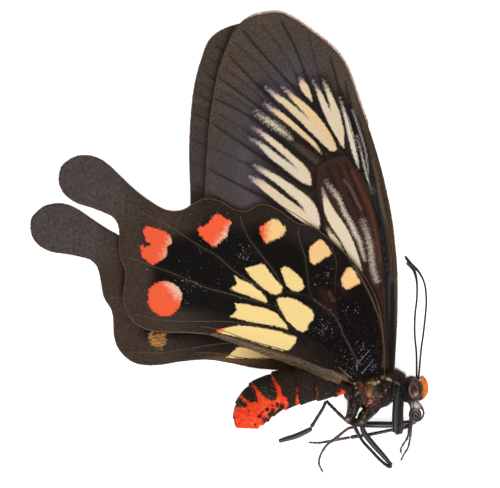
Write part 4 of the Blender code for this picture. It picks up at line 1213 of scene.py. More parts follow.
# Colours of the body by place: pixel, reach in pixels, colour and strength; a few small white and pink dots
# among them are painted highlights
BODY_SHADES = [
    ((341, 386), 9, (48, 34, 24), 0.6), ((326, 384), 10, (44, 33, 27), 0.7),
    ((306, 382), 12, (56, 36, 27), 0.8), ((286, 384), 11, (56, 33, 22), 0.9),
    ((262, 385), 9, (36, 36, 26), 0.9), ((244, 402), 8, (44, 46, 34), 0.8),
    ((265, 394), 7, (58, 54, 38), 0.6), ((243, 388), 8, (28, 30, 28), 0.8),
    ((237, 414), 4, (70, 66, 44), 0.6), ((372, 384), 19, (30, 19, 13), 0.95),
    ((374, 389), 8, (70, 42, 20), 1.0), ((379, 390), 4.2, (36, 21, 12), 0.9),
    ((370.6, 387.5), 3.2, (134, 92, 40), 0.85), ((366.4, 390.6), 2.5, (226, 118, 50), 1.0),
    ((368.4, 394.4), 2.3, (220, 128, 62), 1.0), ((372.4, 397.2), 2.1, (160, 96, 46), 0.9),
    ((378, 396.6), 2.2, (122, 80, 42), 0.8), ((384.6, 389.5), 1.6, (140, 80, 36), 0.8),
    ((373, 402.6), 5.5, (118, 10, 5), 1.0), ((369, 407), 4, (88, 10, 7), 0.95),
    ((379, 401), 4, (76, 10, 6), 0.9), ((385, 399), 3.5, (30, 12, 9), 0.8),
    # painted highlights: the pale dots at (370.8, 399.8), (367.7, 402.4) and (370.2, 401.6), on this line
    # and the next
    ((388, 391), 5, (16, 13, 11), 0.85), ((370.8, 399.8), 1.0, (226, 150, 132), 0.9),
    ((367.7, 402.4), 0.7, (240, 230, 226), 0.9), ((370.2, 401.6), 0.6, (240, 226, 220), 0.9),
    ((357, 396), 7, (38, 24, 20), 0.9), ((352, 404), 6, (34, 22, 19), 0.9),
    # painted highlight: the pink dot at (351.2, 395.8)
    ((346.8, 404), 1.8, (92, 76, 54), 0.6), ((351.2, 395.8), 0.9, (216, 140, 160), 0.8),
    ((357.5, 392.5), 1.1, (120, 100, 92), 0.7), ((358.6, 382.4), 2.6, (118, 62, 22), 0.9),
    ((361.4, 386), 2.3, (176, 92, 30), 0.95), ((360.6, 391), 1.8, (96, 52, 24), 0.8),
    ((348.5, 388), 2.6, (84, 58, 36), 0.7), ((363.6, 398.5), 1.5, (146, 120, 76), 0.8),
    ((364, 395), 1.2, (110, 78, 44), 0.7), ((368, 412), 5, (44, 26, 22), 0.8),
    ((363, 416), 2.0, (88, 78, 52), 0.6), ((361, 421.6), 1.9, (160, 128, 96), 0.75),
    ((346.6, 419.4), 2.4, (172, 132, 108), 0.9), ((346, 391), 2.6, (72, 52, 34), 0.6),
    ((354, 381.7), 1.7, (206, 202, 164), 0.95), ((373, 382.4), 2.6, (172, 136, 64), 0.9),
    # painted highlight: the white-grey dot at (377.6, 381)
    ((369.4, 381.4), 1.8, (120, 96, 46), 0.8), ((377.6, 381), 1.4, (214, 206, 184), 0.85),
    ((382, 376.6), 1.9, (198, 142, 116), 0.85), ((387, 377.6), 1.6, (188, 182, 130), 0.9),
    ((389.8, 379.2), 1.2, (176, 170, 118), 0.85), ((384.6, 375.4), 1.3, (164, 104, 78), 0.8),
    ((391, 382.5), 1.8, (84, 18, 12), 0.8), ((395.6, 381.5), 1.2, (120, 116, 104), 0.8),
    ((369, 372), 3, (96, 100, 140), 0.7), ((399, 376), 7, (34, 22, 17), 0.8),
    ((399, 388), 8, (12, 14, 14), 0.9), ((405.5, 396), 4.5, (14, 16, 21), 0.9),
    ((411, 377), 5, (96, 70, 56), 0.8), ((415, 396), 5, (36, 26, 28), 0.8),
    ((416.6, 399.4), 1.5, (190, 50, 26), 0.8), ((422, 388), 6, (255, 136, 28), 0.95),
]

# Streaks of the thorax: line, half width in mm, colour, strength; one is a painted reflection and one a
# painted shade line
THORAX_STREAKS = [
    ([(364.5, 387.8), (365.8, 391.4), (367, 394.6), (369.6, 397.2)], 0.18, (222, 112, 54), 0.8),
    ([(369.6, 397.2), (373.5, 398.8), (377.5, 397.9), (381, 395)], 0.13, (160, 104, 52), 0.9),
    ([(366.5, 382.6), (370.9, 381.5), (374.7, 382.4), (376.9, 381.2)], 0.14, (186, 142, 68), 0.75),
    ([(366.5, 385), (368.5, 388), (370.5, 391.5)], 0.22, (150, 104, 44), 0.8),
    ([(386.3, 377.3), (388.6, 378.4), (390.8, 379.9)], 0.13, (214, 206, 156), 0.95),
    ([(382.4, 373.6), (384.2, 376), (385.8, 378.8)], 0.13, (206, 140, 98), 0.9),
    ([(394.4, 381.2), (396.4, 382.2), (398.6, 383.8)], 0.12, (128, 128, 132), 0.9),
    ([(364.3, 395.6), (363.8, 399), (363.5, 402.6)], 0.1, (170, 146, 92), 0.9),
    ([(354.6, 395), (356.4, 392.6), (358.5, 390.6)], 0.06, (170, 156, 160), 0.8),
    ([(366.2, 400), (365.4, 404), (364.8, 408)], 0.24, (104, 10, 6), 0.85),
    ([(368.6, 412.5), (373.5, 407.5), (382.4, 401.7), (389, 398)], 0.3, (11, 15, 24), 0.95),
    # painted shade: a black line between two plates
    ([(363, 380.6), (362.8, 387), (363.6, 394), (363, 400)], 0.12, (14, 8, 6), 0.9),
    ([(359.2, 381.4), (360.8, 385.4), (361.8, 389)], 0.18, (160, 80, 30), 0.75),
    ([(356, 384), (358.4, 388), (359.4, 392)], 0.14, (120, 62, 26), 0.8),
    ([(351.6, 397), (350.4, 404), (350.6, 411)], 0.34, (44, 13, 17), 0.85),
    ([(347.3, 396), (347.9, 404), (347.4, 413)], 0.14, (104, 80, 54), 0.85),
    ([(361.6, 397), (358.8, 406), (355.4, 413.6)], 0.14, (78, 60, 42), 0.85),
    ([(353, 399), (354.2, 405), (352.6, 411.5)], 0.09, (92, 70, 56), 0.8),
    ([(361.6, 408), (358, 415), (354.4, 420), (350.5, 424.5)], 0.2, (13, 17, 27), 0.9),
    ([(366.5, 409), (364.6, 414), (363.4, 418)], 0.14, (104, 88, 52), 0.85),
    # painted reflection: grey in the middle of the amber plate
    ([(373, 386), (375, 391), (373.6, 394.6)], 0.3, (58, 56, 58), 0.7),
    ([(379, 384), (381.6, 388.4), (381, 393)], 0.3, (24, 14, 10), 0.85),
    ([(383.4, 384.4), (385.4, 388.4), (384.6, 392.4)], 0.12, (110, 58, 32), 0.6),
]
# Small painted highlights of the thorax, as pixels
GLINTS = [
    (365.6, 373.3), (367.4, 369), (370.6, 366.1), (377.3, 380.8), (378.4, 381.6), (379.2, 371.9),
    (357.1, 377.4), (347.8, 378.6), (351.3, 395.3), (357.2, 391.4), (367.7, 402.3), (369.9, 402),
    (371.2, 400.4), (373.5, 398.5), (384.7, 389.5), (372.8, 396.2), (393.3, 393.3), (392.7, 398.5),
    (367.2, 392.9), (373.6, 383.4), (350.2, 408.6), (352.6, 404), (366.2, 405), (368.8, 399.6), (358, 399),
    (349.6, 411.6), (362.4, 411.8), (347.6, 418), (361, 420.6), (376.2, 377.6), (371.6, 378.6), (355, 387),
    (388.6, 386),
]

EYE_PIXEL = (414.0, 388.2)
EYE_HALF = (1.24, 1.58, 0.8)
EYE_OFFSET = 1.25
PALP = [(416.6, 398.6), (420.2, 397.4), (423.4, 392.6), (424, 386.8), (423, 380.8), (420.6, 376.4)]
PALP_RADII = [0.3, 0.4, 0.52, 0.54, 0.46, 0.28]
PALP_OFFSET = 0.72
# The dark lower end of the palps
PALP_FOOT = (419.4, 398.8)
# How high the facets of the eyes and the grain of the horny parts are, and the size of their dust
FACET_RELIEF = 0.006 * MM
HORN_RELIEF = 0.03 * MM
HORN_DUST = 0.16 * MM
# Steps along the coil, a feeler, a leg, a claw and what only tapers
COIL_STEP = 0.03 * MM
FEELER_STEP = 0.045 * MM
LEG_STEP = 0.06 * MM
CLAW_STEP = 0.04 * MM
TAPER_STEP = 0.1 * MM
# How much higher the proboscis lies at the middle of its coil
COIL_RISE = 0.12 * MM
# Proboscis: pixel and radius in mm, from the head round the coil to its middle
PROBOSCIS = [
    ((414.4, 400), 0.45), ((415.8, 404.2), 0.64), ((419.2, 406), 0.46), ((422, 408.6), 0.2),
    ((423.1, 412.2), 0.17), ((422, 416.3), 0.17), ((419, 419.4), 0.19), ((415, 420.2), 0.23),
    ((411.4, 418), 0.27), ((410.1, 414), 0.3), ((411.2, 410.6), 0.32), ((414.4, 409.3), 0.32),
    ((417.6, 410.4), 0.32), ((419.1, 413.4), 0.31), ((418, 416.6), 0.3), ((415.2, 417.5), 0.3),
    ((412.9, 415.5), 0.3), ((413.1, 412.9), 0.29), ((415.5, 412), 0.27), ((416.8, 413.9), 0.24),
    ((415.5, 415), 0.2), ((414.8, 413.9), 0.15),
]
PROBOSCIS_ROOT = [
    ((409.6, 395), 0.4), ((410.8, 400.5), 0.42), ((411.2, 405), 0.32), ((411.4, 408.6), 0.16),
]
# Tints of the proboscis: tone, pixel, how many pixels round it, and how strong; the first is a painted
# reflection and the second a painted highlight
COIL_TINTS = [
    ("proboscis_reflection", (416, 404.6), 3.6, 0.9), ("coil_highlight", (415.6, 412.6), 2.0, 0.8),
    ("coil_brown", (413.5, 417.5), 1.6, 0.5),
]
# Antennae: pixel, and height above the floor in mm
ANTENNAE = {
    "antenna_right": [(417.2, 382, 3.7), (418.2, 374, 3.85), (419.2, 362, 4.05), (420.6, 347, 4.1),
                      (422.5, 334, 4.0), (425, 311, 3.8), (425.6, 298.5, 3.6), (424, 284, 3.4),
                      (418.4, 272, 3.2), (409.8, 263.3, 3.0), (404.3, 255.8, 2.9)],
    "antenna_left": [(415.6, 382, 2.5), (416.2, 374, 2.4), (416, 353, 2.3), (414.4, 335, 2.1),
                     (414.6, 316, 2.0), (416.5, 298.5, 1.9), (416.6, 283, 1.8), (414.5, 272.5, 1.7),
                     (411, 266.8, 1.6), (405.8, 262.6, 1.6)],
}
# Legs: each a chain of lengths, as pixel, height above the floor in mm, and both end radii in mm
LEGS = {
    "leg_fore_right": [
        ([(397.5, 385, 4.4), (395.5, 399, 4.2), (394.2, 416, 3.9), (394, 432, 3.6)], 0.37, 0.4),
        ([(394.5, 431.5, 3.55), (398.5, 431, 3.3), (400.6, 415, 3.0), (401.2, 402, 2.7)], 0.32, 0.29),
        ([(401.2, 402, 2.7), (405.8, 399.4, 2.4), (410.2, 404.5, 2.0), (411.6, 412.5, 1.9),
          (411.8, 420, 2.0), (410.8, 429, 1.9), (409.8, 438, 1.45), (408, 447, 1.0), (404, 454, 0.65),
          (400.9, 460.4, 0.4)], 0.25, 0.14),
    ],
    "leg_fore_left": [
        ([(399.5, 386, 2.4), (399.5, 401, 2.3), (399, 417, 2.25), (398.5, 431.5, 2.2)], 0.37, 0.4),
        ([(398.5, 431.5, 2.2), (400.8, 430.5, 2.0), (401.4, 414, 1.8), (401.6, 402, 1.65)], 0.32, 0.29),
        ([(401.6, 402, 1.65), (405.8, 399.8, 1.6), (410.4, 405, 1.5), (411, 413, 1.5), (410.2, 420, 1.6),
          (409, 429, 1.25), (407, 438, 0.85), (402.7, 445, 0.6), (400.6, 449.5, 0.45), (401, 453, 0.35)],
         0.25, 0.14),
    ],
    "leg_mid_right": [
        ([(361.5, 424.5, 3.9), (364, 432.6, 3.7), (373, 444, 3.3), (382, 454, 3.0), (391.5, 465, 2.75)],
         0.38, 0.36),
        ([(391.5, 465, 2.75), (388.5, 466, 2.75), (380.5, 460, 2.7), (370.5, 449.5, 2.8), (362, 440, 2.9),
          (354.4, 426.4, 3.1)], 0.27, 0.25),
        ([(354.4, 426.4, 3.1), (347, 428.4, 2.9), (336, 437.5, 2.3), (326.5, 445, 1.7), (320.4, 455, 1.2),
          (319, 464, 0.8), (323, 472, 0.45)], 0.26, 0.14),
    ],
    "leg_mid_left": [
        ([(361.5, 424.2, 0.85), (378, 424.3, 0.8), (390, 424.4, 0.75), (404, 423, 0.72),
          (416.5, 421, 0.72)], 0.47, 0.36),
        ([(416.5, 421, 0.72), (409, 425, 0.7), (405, 427.5, 0.7), (390, 430.2, 0.7), (370, 434.2, 0.75),
          (350, 437.2, 0.75)], 0.28, 0.27),
        ([(350, 437.2, 0.75), (331, 440.6, 0.65), (319, 442.7, 0.55), (308.8, 442.3, 0.4)], 0.26, 0.14),
    ],
    "leg_hind_right": [
        ([(347, 421, 4.0), (338, 412.5, 3.0), (326, 400.5, 1.8)], 0.26, 0.26),
        ([(326, 400.5, 1.8), (322.7, 408, 1.75), (316.6, 418, 1.65), (311, 427, 1.55)], 0.26, 0.28),
        ([(312, 428, 1.55), (303, 432.6, 1.5), (295, 436, 1.45), (286.5, 438.5, 1.4), (278.5, 441, 1.35)],
         0.36, 0.38),
    ],
    "leg_hind_left": [
        ([(350, 402, 1.2), (342, 390, 0.6), (322, 388.5, 0.42)], 0.3, 0.28),
        ([(322, 388.5, 0.42), (302, 385, 0.38), (283, 386.5, 0.36)], 0.27, 0.26),
        ([(283, 386.5, 0.36), (268, 393, 0.34), (257, 404, 0.34)], 0.26, 0.16),
    ],
}
# Loose scales and scratches on the near hindwing: pixel, reach in pixels, how many
SCRATCHES = [
    ((245, 252), 7, 40), ((187, 285), 12, 46), ((323, 328), 8, 40), ((326, 275), 9, 28),
    ((361, 345), 6, 26), ((348, 311), 4, 12), ((358, 310), 3.5, 9), ((350, 362), 12, 60),
    ((366, 356), 8, 26), ((200, 262), 50, 70), ((300, 325), 45, 70),
]
# The same for the pearly scales, and the routes of the fibres
PEARLS = ((372, 367.5), 4.0, 16)
HAIRLINES = [
    [(338, 366), (345, 372.5), (351, 377)], [(356, 361), (356.6, 370)],
    [(369.5, 349), (364, 355), (358, 362)], [(372, 360), (366, 367), (361, 373)],
]


# Body skin

def loft(rings):
    """A closed body through rings of equally many points: a circle extruded from ring to ring."""
    bm = bmesh.new()
    verts = bmesh.ops.create_circle(bm, segments=len(rings[0]), radius=1.0)["verts"]
    edges = list(bm.edges)
    for vert, place in zip(verts, rings[0]):
        vert.co = place
    first = list(verts)
    for ring in rings[1:]:
        grown = bmesh.ops.extrude_edge_only(bm, edges=edges)["geom"]
        edges = [item for item in grown if isinstance(item, bmesh.types.BMEdge)]
        fresh = {item for item in grown if isinstance(item, bmesh.types.BMVert)}
        verts = [next(edge.other_vert(vert) for edge in vert.link_edges if edge.other_vert(vert) in fresh)
                 for vert in verts]
        for vert, place in zip(verts, ring):
            vert.co = place
    bmesh.ops.contextual_create(bm, geom=first)
    bmesh.ops.contextual_create(bm, geom=verts)
    bmesh.ops.recalc_face_normals(bm, faces=bm.faces)
    return bm


def section_rings(sections, height, sides):
    """Elliptical rings square to the line of their middles, from rows as of the body's sections."""
    middles = np.array([at(x, y, height) for x, y, _, _ in sections])
    ways = np.gradient(middles, axis=0)
    ways /= np.linalg.norm(ways, axis=1)[:, None]
    turns = math.tau * (np.arange(sides) + 0.5) / sides
    rings = []
    for middle, way, (_, _, tall, wide) in zip(middles, ways, sections):
        across = np.array([-way[1], way[0], 0.0])
        ring = middle + np.cos(turns)[:, None] * across * tall * PIXEL
        ring[:, 2] += np.sin(turns) * wide * MM
        rings.append(ring)
    return rings


def thorax_shape():
    rows = [(x, y, tall, wide) for (x, y), tall, wide in THORAX]
    return loft(section_rings(curve_through(rows, 2.5), BODY_HEIGHT, 40))


def abdomen_shape():
    """The abdomen, each segment's rear edge standing a little over the front of the next."""
    rows = curve_through([(x, y, tall, wide) for (x, y), tall, wide in ABDOMEN], 0.9)
    share = np.linspace(0, 1, len(rows))
    within = within_parts(share, SEGMENT_SHARES)
    dip = 0.5 * SEGMENT_STEP * np.exp(-(within / 0.12) ** 2)
    swell = 1.0 + SEGMENT_STEP * (1.6 * within ** 1.5 - 1.0) - dip
    rows[:, 2:] *= swell[:, None]
    return loft(section_rings(rows, ABDOMEN_HEIGHT, 56))


def ball(middle, halves, fine=24):
    bm = bmesh.new()
    bmesh.ops.create_uvsphere(bm, u_segments=fine, v_segments=fine // 2 + 2, radius=1.0)
    bmesh.ops.scale(bm, verts=bm.verts, vec=tuple(half * MM for half in halves))
    bmesh.ops.translate(bm, verts=bm.verts, vec=middle)
    return bm


def fused(name, meshes, voxel):
    """One seamless skin round overlapping closed meshes."""
    mesh, _ = joined(name, meshes)
    obj = new_object(name, mesh)
    remesh = obj.modifiers.new("fuse", "REMESH")
    remesh.mode = "VOXEL"
    remesh.voxel_size = voxel
    skin = settled(obj)
    bm = bmesh.new()
    bm.from_mesh(skin)
    for _ in range(2):
        bmesh.ops.smooth_vert(bm, verts=bm.verts, factor=0.5,
                              use_axis_x=True, use_axis_y=True, use_axis_z=True)
    bm.to_mesh(skin)
    bm.free()
    return skin


def beside(points, line):
    """For each point, the share of the way along a run of straight lengths, and how far to its left."""
    points = points[:, :2]
    steps = np.hypot(*np.diff(line, axis=0).T)
    starts = np.r_[0.0, np.cumsum(steps)]
    best = np.full(len(points), np.inf)
    along = np.zeros(len(points))
    across = np.zeros(len(points))
    for start, end, before, step in zip(line, line[1:], starts, steps):
        way = end - start
        share = np.clip((points - start) @ way / step ** 2, 0.0, 1.0)
        gap = points - start - share[:, None] * way
        far = np.hypot(*gap.T)
        closer = far < best
        along[closer] = (before + share * step)[closer]
        across[closer] = (gap @ (np.array([-way[1], way[0]]) / step))[closer]
        best = np.minimum(best, far)
    return along / starts[-1], across


def glinting(ground, points):
    """Small slanting painted highlights of four sizes."""
    slant = np.array([[0.8, -0.3], [0.5, 1.0]])
    for i, place in enumerate(flat(GLINTS)):
        away = np.hypot(*((points[:, :2] - place) @ slant).T) / MM
        reach = 0.045 + 0.018 * (i % 4)
        ground = mixed(ground, tone("glint"), 0.8 * np.exp(-(away / reach) ** 2))
    return ground


# Where thorax and face start: column of the photograph, and over how many mm
THORAX_START = (345, 1)
FACE_START = (417, 0.4)
# Where the dark rings of the abdomen end, and where the gloss of the thorax starts and ends, in pixels
RINGS_END = (338, 6)
GLOSS_START = (343, 6)
GLOSS_END = (392, 8)


def beyond(column, start, reach):
    return smooth_step((column - start) / reach)


def body_looks(points):
    """Ground colour with painted highlights and shade, red mark in mm and gloss of the body's skin and coat
    at each point.
    """
    flat_points = points[:, :2]
    ground = tone("body")
    for pixel, reach, colour, strength in BODY_SHADES:
        away = away_from(points, pixel) / (reach * PIXEL)
        ground = mixed(ground, linear(*colour), strength * np.exp(-away ** 2.5))
    ground = streaked(ground, flat_points, THORAX_STREAKS)
    grey = ground.mean(axis=1, keepdims=True)
    ground = mixed(ground, 0.78 * (0.86 * ground + 0.14 * grey), 1.0 - past(points, *FACE_START))
    # Painted highlights of the thorax
    ground = glinting(ground, points)
    along, _ = beside(points, np.array([at(*pixel)[:2] for pixel, _, _ in ABDOMEN]))
    borders = np.min([np.abs(along - bound) for bound in SEGMENT_SHARES[1:-1]], axis=0) * ABDOMEN_LENGTH
    column = points[:, 0] / PIXEL + ORIGIN_PIXEL[0]
    rings = np.exp(-(borders / 0.11) ** 2) * (1.0 - beyond(column, *RINGS_END))
    ground *= (1.0 - 0.65 * rings)[:, None]
    mark = np.full(len(points), OUTSIDE)
    for area in RED_AREAS:
        mark = np.maximum(mark, depth_in(flat_points, flat(area)) / MM)
    for line, half in RED_RINGS:
        mark = np.maximum(mark, half - distance(flat_points, flat(line)) / MM)
    for pixel, reach in BLACK_DOTS:
        mark = np.minimum(mark, (away_from(points, pixel) - reach * PIXEL) / MM)
    gloss = beyond(column, *GLOSS_START) * (1.0 - beyond(column, *GLOSS_END))
    return ground, mark, gloss


def body_unwrap(points):
    """Places on a map of the body: along its axis and round it, both from 0 to 1."""
    along, across = beside(points, flat(BODY_AXIS))
    turn = np.arctan2(points[:, 2] - BODY_HEIGHT, across) / math.tau + 0.5
    return np.column_stack((0.01 + 0.97 * along, 0.01 + 0.97 * turn))


def body_material():
    """Cuticle and short scales: glossy on the thorax, matt and red-marked on the abdomen."""
    cfg = bpy.context.scene.butterfly_body
    material, graph, shader = new_material("body_skin", 0.12, 0.5)
    here = graph.here()
    fine = graph.noise(here, 5200.0, 4.0, 0.65)
    coarse = graph.noise(here, 1500.0, 3.0, 0.6)
    grain = graph.minus(fine, 0.5)
    red = graph.between(graph.add(graph.attribute("mark"), graph.times(grain, 1.3)), -0.06, 0.06)
    orange = graph.mix(graph.between(coarse, 0.42, 0.68), (*cfg.red, 1.0), (*cfg.orange, 1.0))
    light = graph.add(1.0, graph.times(grain, 2.2))
    colour = graph.mix(red, graph.scaled(graph.attribute("ground", "Color"), light), orange)
    specks = graph.group(dust(), {"Place": here, "Mask": 0.0, "Size": SKIN_DUST})["Specks"]
    gloss = graph.attribute("gloss")
    lumps = graph.noise(here, 2600.0, 2.0, 0.5)
    pits = graph.add(fine, graph.times(graph.add(coarse, lumps), 1.8))
    graph.feed(shader, {
        "Base Color": graph.mix(specks, colour, (0.4, 0.38, 0.33, 1.0)),
        "Roughness": graph.between(gloss, 0.0, 1.0, 0.65, 0.38),
        "Coat Weight": graph.times(gloss, 0.1),
        "Coat Roughness": 0.14,
        "Normal": graph.bump(pits, SKIN_RELIEF, 0.85),
    })
    return material


class BodySettings(bpy.types.PropertyGroup):
    """Sizes and colours of the body and its coat"""

    voxel: length("Skin detail", "Distance between the points of the body's skin", 0.11)
    groove: length("Groove depth", "Depth of the grooves between the thorax plates", 0.13)
    red: shade("Abdomen red", "Red scales of the abdomen", 246, 54, 22)
    orange: shade("Abdomen orange", "Paler orange scales of the abdomen", 250, 96, 50)
    face: shade("Face", "Orange hair of the face and palps", 255, 138, 28)
    scales: IntProperty(name="Scales", description="Scales on the abdomen", default=13400)
    hairs: IntProperty(name="Hairs", description="Hairs on the thorax, and on the head", default=8200)
    seed: IntProperty(name="Seed", description="Start of the random draws of the coat", default=11)


class BUTTERFLY_OT_body(bpy.types.Operator):
    """Makes the skin of the abdomen, thorax, leg bases and head in one piece"""

    bl_idname = "butterfly.body"
    bl_label = "Body skin"

    def execute(self, context):
        cfg = context.scene.butterfly_body
        shapes = [
            keep_mesh("thorax_shape", thorax_shape()),
            keep_mesh("abdomen_shape", abdomen_shape()),
            keep_mesh("head_shape", ball(at(*HEAD_PIXEL, BODY_HEIGHT), HEAD_HALF)),
            keep_mesh("neck_shape", ball(at(*NECK_PIXEL, BODY_HEIGHT), NECK_HALF)),
        ]
        lines = []
        for base, sides, step in LEG_BASES:
            for side in sides:
                rows = [(*at(x, y, BODY_HEIGHT + side * offset * MM), radius * MM)
                        for x, y, offset, radius in base]
                lines.append(tapered(rows, step))
        shapes.append(tubes("coxae", lines, 4))
        for pixel, halves, offset in PLATES:
            for side in (1, -1):
                middle = at(*pixel, BODY_HEIGHT + side * offset * MM)
                shapes.append(keep_mesh("plate", ball(middle, halves, 16)))
        mesh = fused("body_skin", shapes, cfg.voxel)
        co = places(mesh)
        thorax = past(co, *THORAX_START)
        groove = millimetres_from(co[:, :2], SUTURES)
        sink = np.exp(-(groove / 0.16) ** 2) * thorax * cfg.groove
        wrinkle = ripple(co, *WRINKLES[0]) * 0.12 * MM * thorax
        wrinkle += ripple(co, *WRINKLES[1]) * (0.012 + 0.06 * thorax) * MM
        co += normals(mesh) * (wrinkle - sink)[:, None]
        co[:, 2] = np.maximum(co[:, 2], FLOOR_GAP)
        set_places(mesh, co)
        ground, mark, gloss = body_looks(co)
        # Painted shade: darker in the grooves between the plates
        ground *= (1.0 - 0.6 * np.exp(-(groove / 0.2) ** 2) * thorax)[:, None]
        set_colours(mesh, "ground", ground)
        set_values(mesh, "mark", mark)
        set_values(mesh, "gloss", gloss)
        add_piece("body_skin", mesh, body_material(), ["thorax", "abdomen", "head"])
        return {"FINISHED"}


# Coat: hairs and scales as joined tufts

# Side of the patch of the map that each tuft takes, as a share of the map
PATCH = 0.003
# How deep hairs and scales are rooted
ROOTED = 0.03 * MM
SCALE_ROOTED = 0.02 * MM
# Kinds of tuft: sides of the leaf and where it is widest, thickness as a share of its width, widths
# in mm, curls, and how uneven their shades are
TUFTS = {
    "scales": ((4, 0.6), 0.25, (0.07, 0.11), (-0.15, 0.05), 0.0),
    "thorax": ((3, 0.35), 0.7, (0.014, 0.028), (-0.35, 0.1), 0.3),
    "head": ((3, 0.35), 0.7, (0.015, 0.032), (-0.3, 0.1), 0.3),
    "palps": ((3, 0.35), 0.7, (0.025, 0.05), (-0.3, 0.0), 0.12),
    "fold": ((3, 0.4), 0.6, (0.025, 0.045), (-0.1, 0.02), 0.2),
    "bristles": ((3, 0.2), 0.9, (0.02, 0.035), (-0.2, 0.0), 0.3),
}
# How deep the pits of the skin are, and the size of the dust on it
SKIN_RELIEF = 0.11 * MM
SKIN_DUST = 0.3 * MM
# Wrinkles of the skin, coarse and fine: size and seed
WRINKLES = ((0.9 * MM, 8), (0.45 * MM, 9))
# How far over the wing the hairs of the fold and the loose scales lie
FUR_LIFT = 0.06 * MM
STREWN_LIFT = 0.03 * MM
# How far inside the margin the loose scales end, and the step along a fibre
STREWN_MARGIN = 0.2 * MM
FIBRE_STEP = 0.2 * MM
# The pale fringe of the apex: width, how far from its end it starts, and how much longer it is
APEX_REACH = 0.8 * MM
APEX_START = 3 * MM
APEX_EXTRA = 0.3 * MM
# Step over the margin that tells its outside
PROBE = 0.1 * MM
# Distance between two pairs of scales of the fringe, and between two hairs of the fold
FRINGE_PITCH = 0.075 * MM
FUR_PITCH = 0.012 * MM
# Distance from a wing's root within which its margin has no fringe
BARE_ROOT = 7 * MM
# Starts of the random draws
FRINGE_SEED = 31
FOLD_SEED = 53
LEG_SEED = 71
SCRATCH_SEED = 97


def tuft_shape(sides, widest):
    """A thin leaf along +Z, one long and one wide: a cone cut across and swollen at the cut."""
    bm = bmesh.new()
    bmesh.ops.create_cone(bm, cap_ends=True, segments=sides, radius1=0.3, radius2=0.0, depth=1.0)
    bmesh.ops.translate(bm, verts=bm.verts, vec=(0.0, 0.0, 0.5))
    bmesh.ops.bisect_plane(bm, geom=bm.verts[:] + bm.edges[:] + bm.faces[:], plane_co=(0.0, 0.0, widest),
                           plane_no=(0.0, 0.0, 1.0))
    bmesh.ops.remove_doubles(bm, verts=bm.verts, dist=1e-4)
    for vert in bm.verts:
        if abs(vert.co.z - widest) < 1e-3:
            size = math.hypot(vert.co.x, vert.co.y)
            vert.co.x *= 0.5 / size
            vert.co.y *= 0.5 / size
    bmesh.ops.recalc_face_normals(bm, faces=bm.faces)
    return keep_mesh("tuft_shape", bm)


def tufts(name, template, roots, ways, outs, lengths, widths, thick, curls, shades, patches):
    """One mesh of tufts: each lies along its way, flat to its out direction, and bends by its curl."""
    shape = places(template)
    ways = unit(ways)
    sides = unit(np.cross(ways, outs))
    outs = np.cross(sides, ways)
    x, y, z = shape.T
    across = sides[:, None, :] * (widths[:, None] * x)[:, :, None]
    height = widths[:, None] * thick * y + (curls * lengths)[:, None] * z ** 2
    along = ways[:, None, :] * (lengths[:, None] * z)[:, :, None]
    co = roots[:, None, :] + across + outs[:, None, :] * height[:, :, None] + along
    co[:, :, 2] = np.maximum(co[:, :, 2], FLOOR_GAP)
    copies, points = co.shape[:2]
    corners = read(template.loops, "vertex_index", kind=int)
    starts = read(template.polygons, "loop_start", kind=int)
    each = np.arange(copies)[:, None]
    mesh = bpy.data.meshes.new(name)
    mesh.vertices.add(copies * points)
    mesh.vertices.foreach_set("co", co.astype(np.float32).ravel())
    mesh.loops.add(copies * len(corners))
    mesh.loops.foreach_set("vertex_index", (corners + points * each).astype(np.int32).ravel())
    mesh.polygons.add(copies * len(starts))
    mesh.polygons.foreach_set("loop_start", (starts + len(corners) * each).astype(np.int32).ravel())
    mesh.update(calc_edges=True)
    # Painted shade: each tuft darker at its root and lighter towards its tip
    light = 0.75 + 0.4 * z
    set_colours(mesh, "ground", (shades[:, None, :] * light[None, :, None]).reshape(-1, 3))
    layer = mesh.uv_layers.new(name="OFBake")
    local = PATCH * np.column_stack((x + 0.5, z))[corners]
    layer.data.foreach_set("uv", (patches[:, None, :] + local[None]).astype(np.float32).ravel())
    return mesh


def uneven_shades(shades, draws, amount):
    return shades * np.exp(draws.normal(0.0, amount, len(shades)))[:, None]


def add_coat(name, kind, draws, roots, ways, outs, lengths, shades, patches, material):
    """Shows tufts of one kind as a piece, with their widths, curls and uneven shades drawn here."""
    leaf, thick, width_range, curl_range, uneven = TUFTS[kind]
    widths = draws.uniform(*width_range, len(roots)) * MM
    curls = draws.uniform(*curl_range, len(roots))
    if uneven:
        shades = uneven_shades(shades, draws, uneven)
    mesh = tufts(name, tuft_shape(*leaf), roots, ways, outs, lengths, widths, thick, curls, shades, patches)
    add_piece(name, mesh, material)


def scattered(mesh, count, draws, weights=None):
    """Random places on a mesh, with the directions that its surface faces there."""
    mesh.calc_loop_triangles()
    corners = read(mesh.loop_triangles, "vertices", 3, int)
    areas = read(mesh.loop_triangles, "area")
    if weights is not None:
        areas = areas * weights[corners].mean(axis=1)
    picked = draws.choice(len(corners), count, p=areas / areas.sum())
    share = draws.random((count, 2))
    over = share.sum(axis=1) > 1.0
    share[over] = 1.0 - share[over]
    share = np.column_stack((share, 1.0 - share.sum(axis=1)))[:, :, None]
    co, out = places(mesh), normals(mesh)
    return (co[corners[picked]] * share).sum(axis=1), unit((out[corners[picked]] * share).sum(axis=1))


def rearward(points):
    """The way from the head to the abdomen's tip beside each point."""
    axis = flat(BODY_AXIS)
    middles = (axis[:-1] + axis[1:]) / 2
    ways = axis[:-1] - axis[1:]
    nearest = np.argmin(np.linalg.norm(points[:, None, :2] - middles[None], axis=2), axis=1)
    found = np.zeros((len(points), 3))
    found[:, :2] = unit(ways)[nearest]
    return found


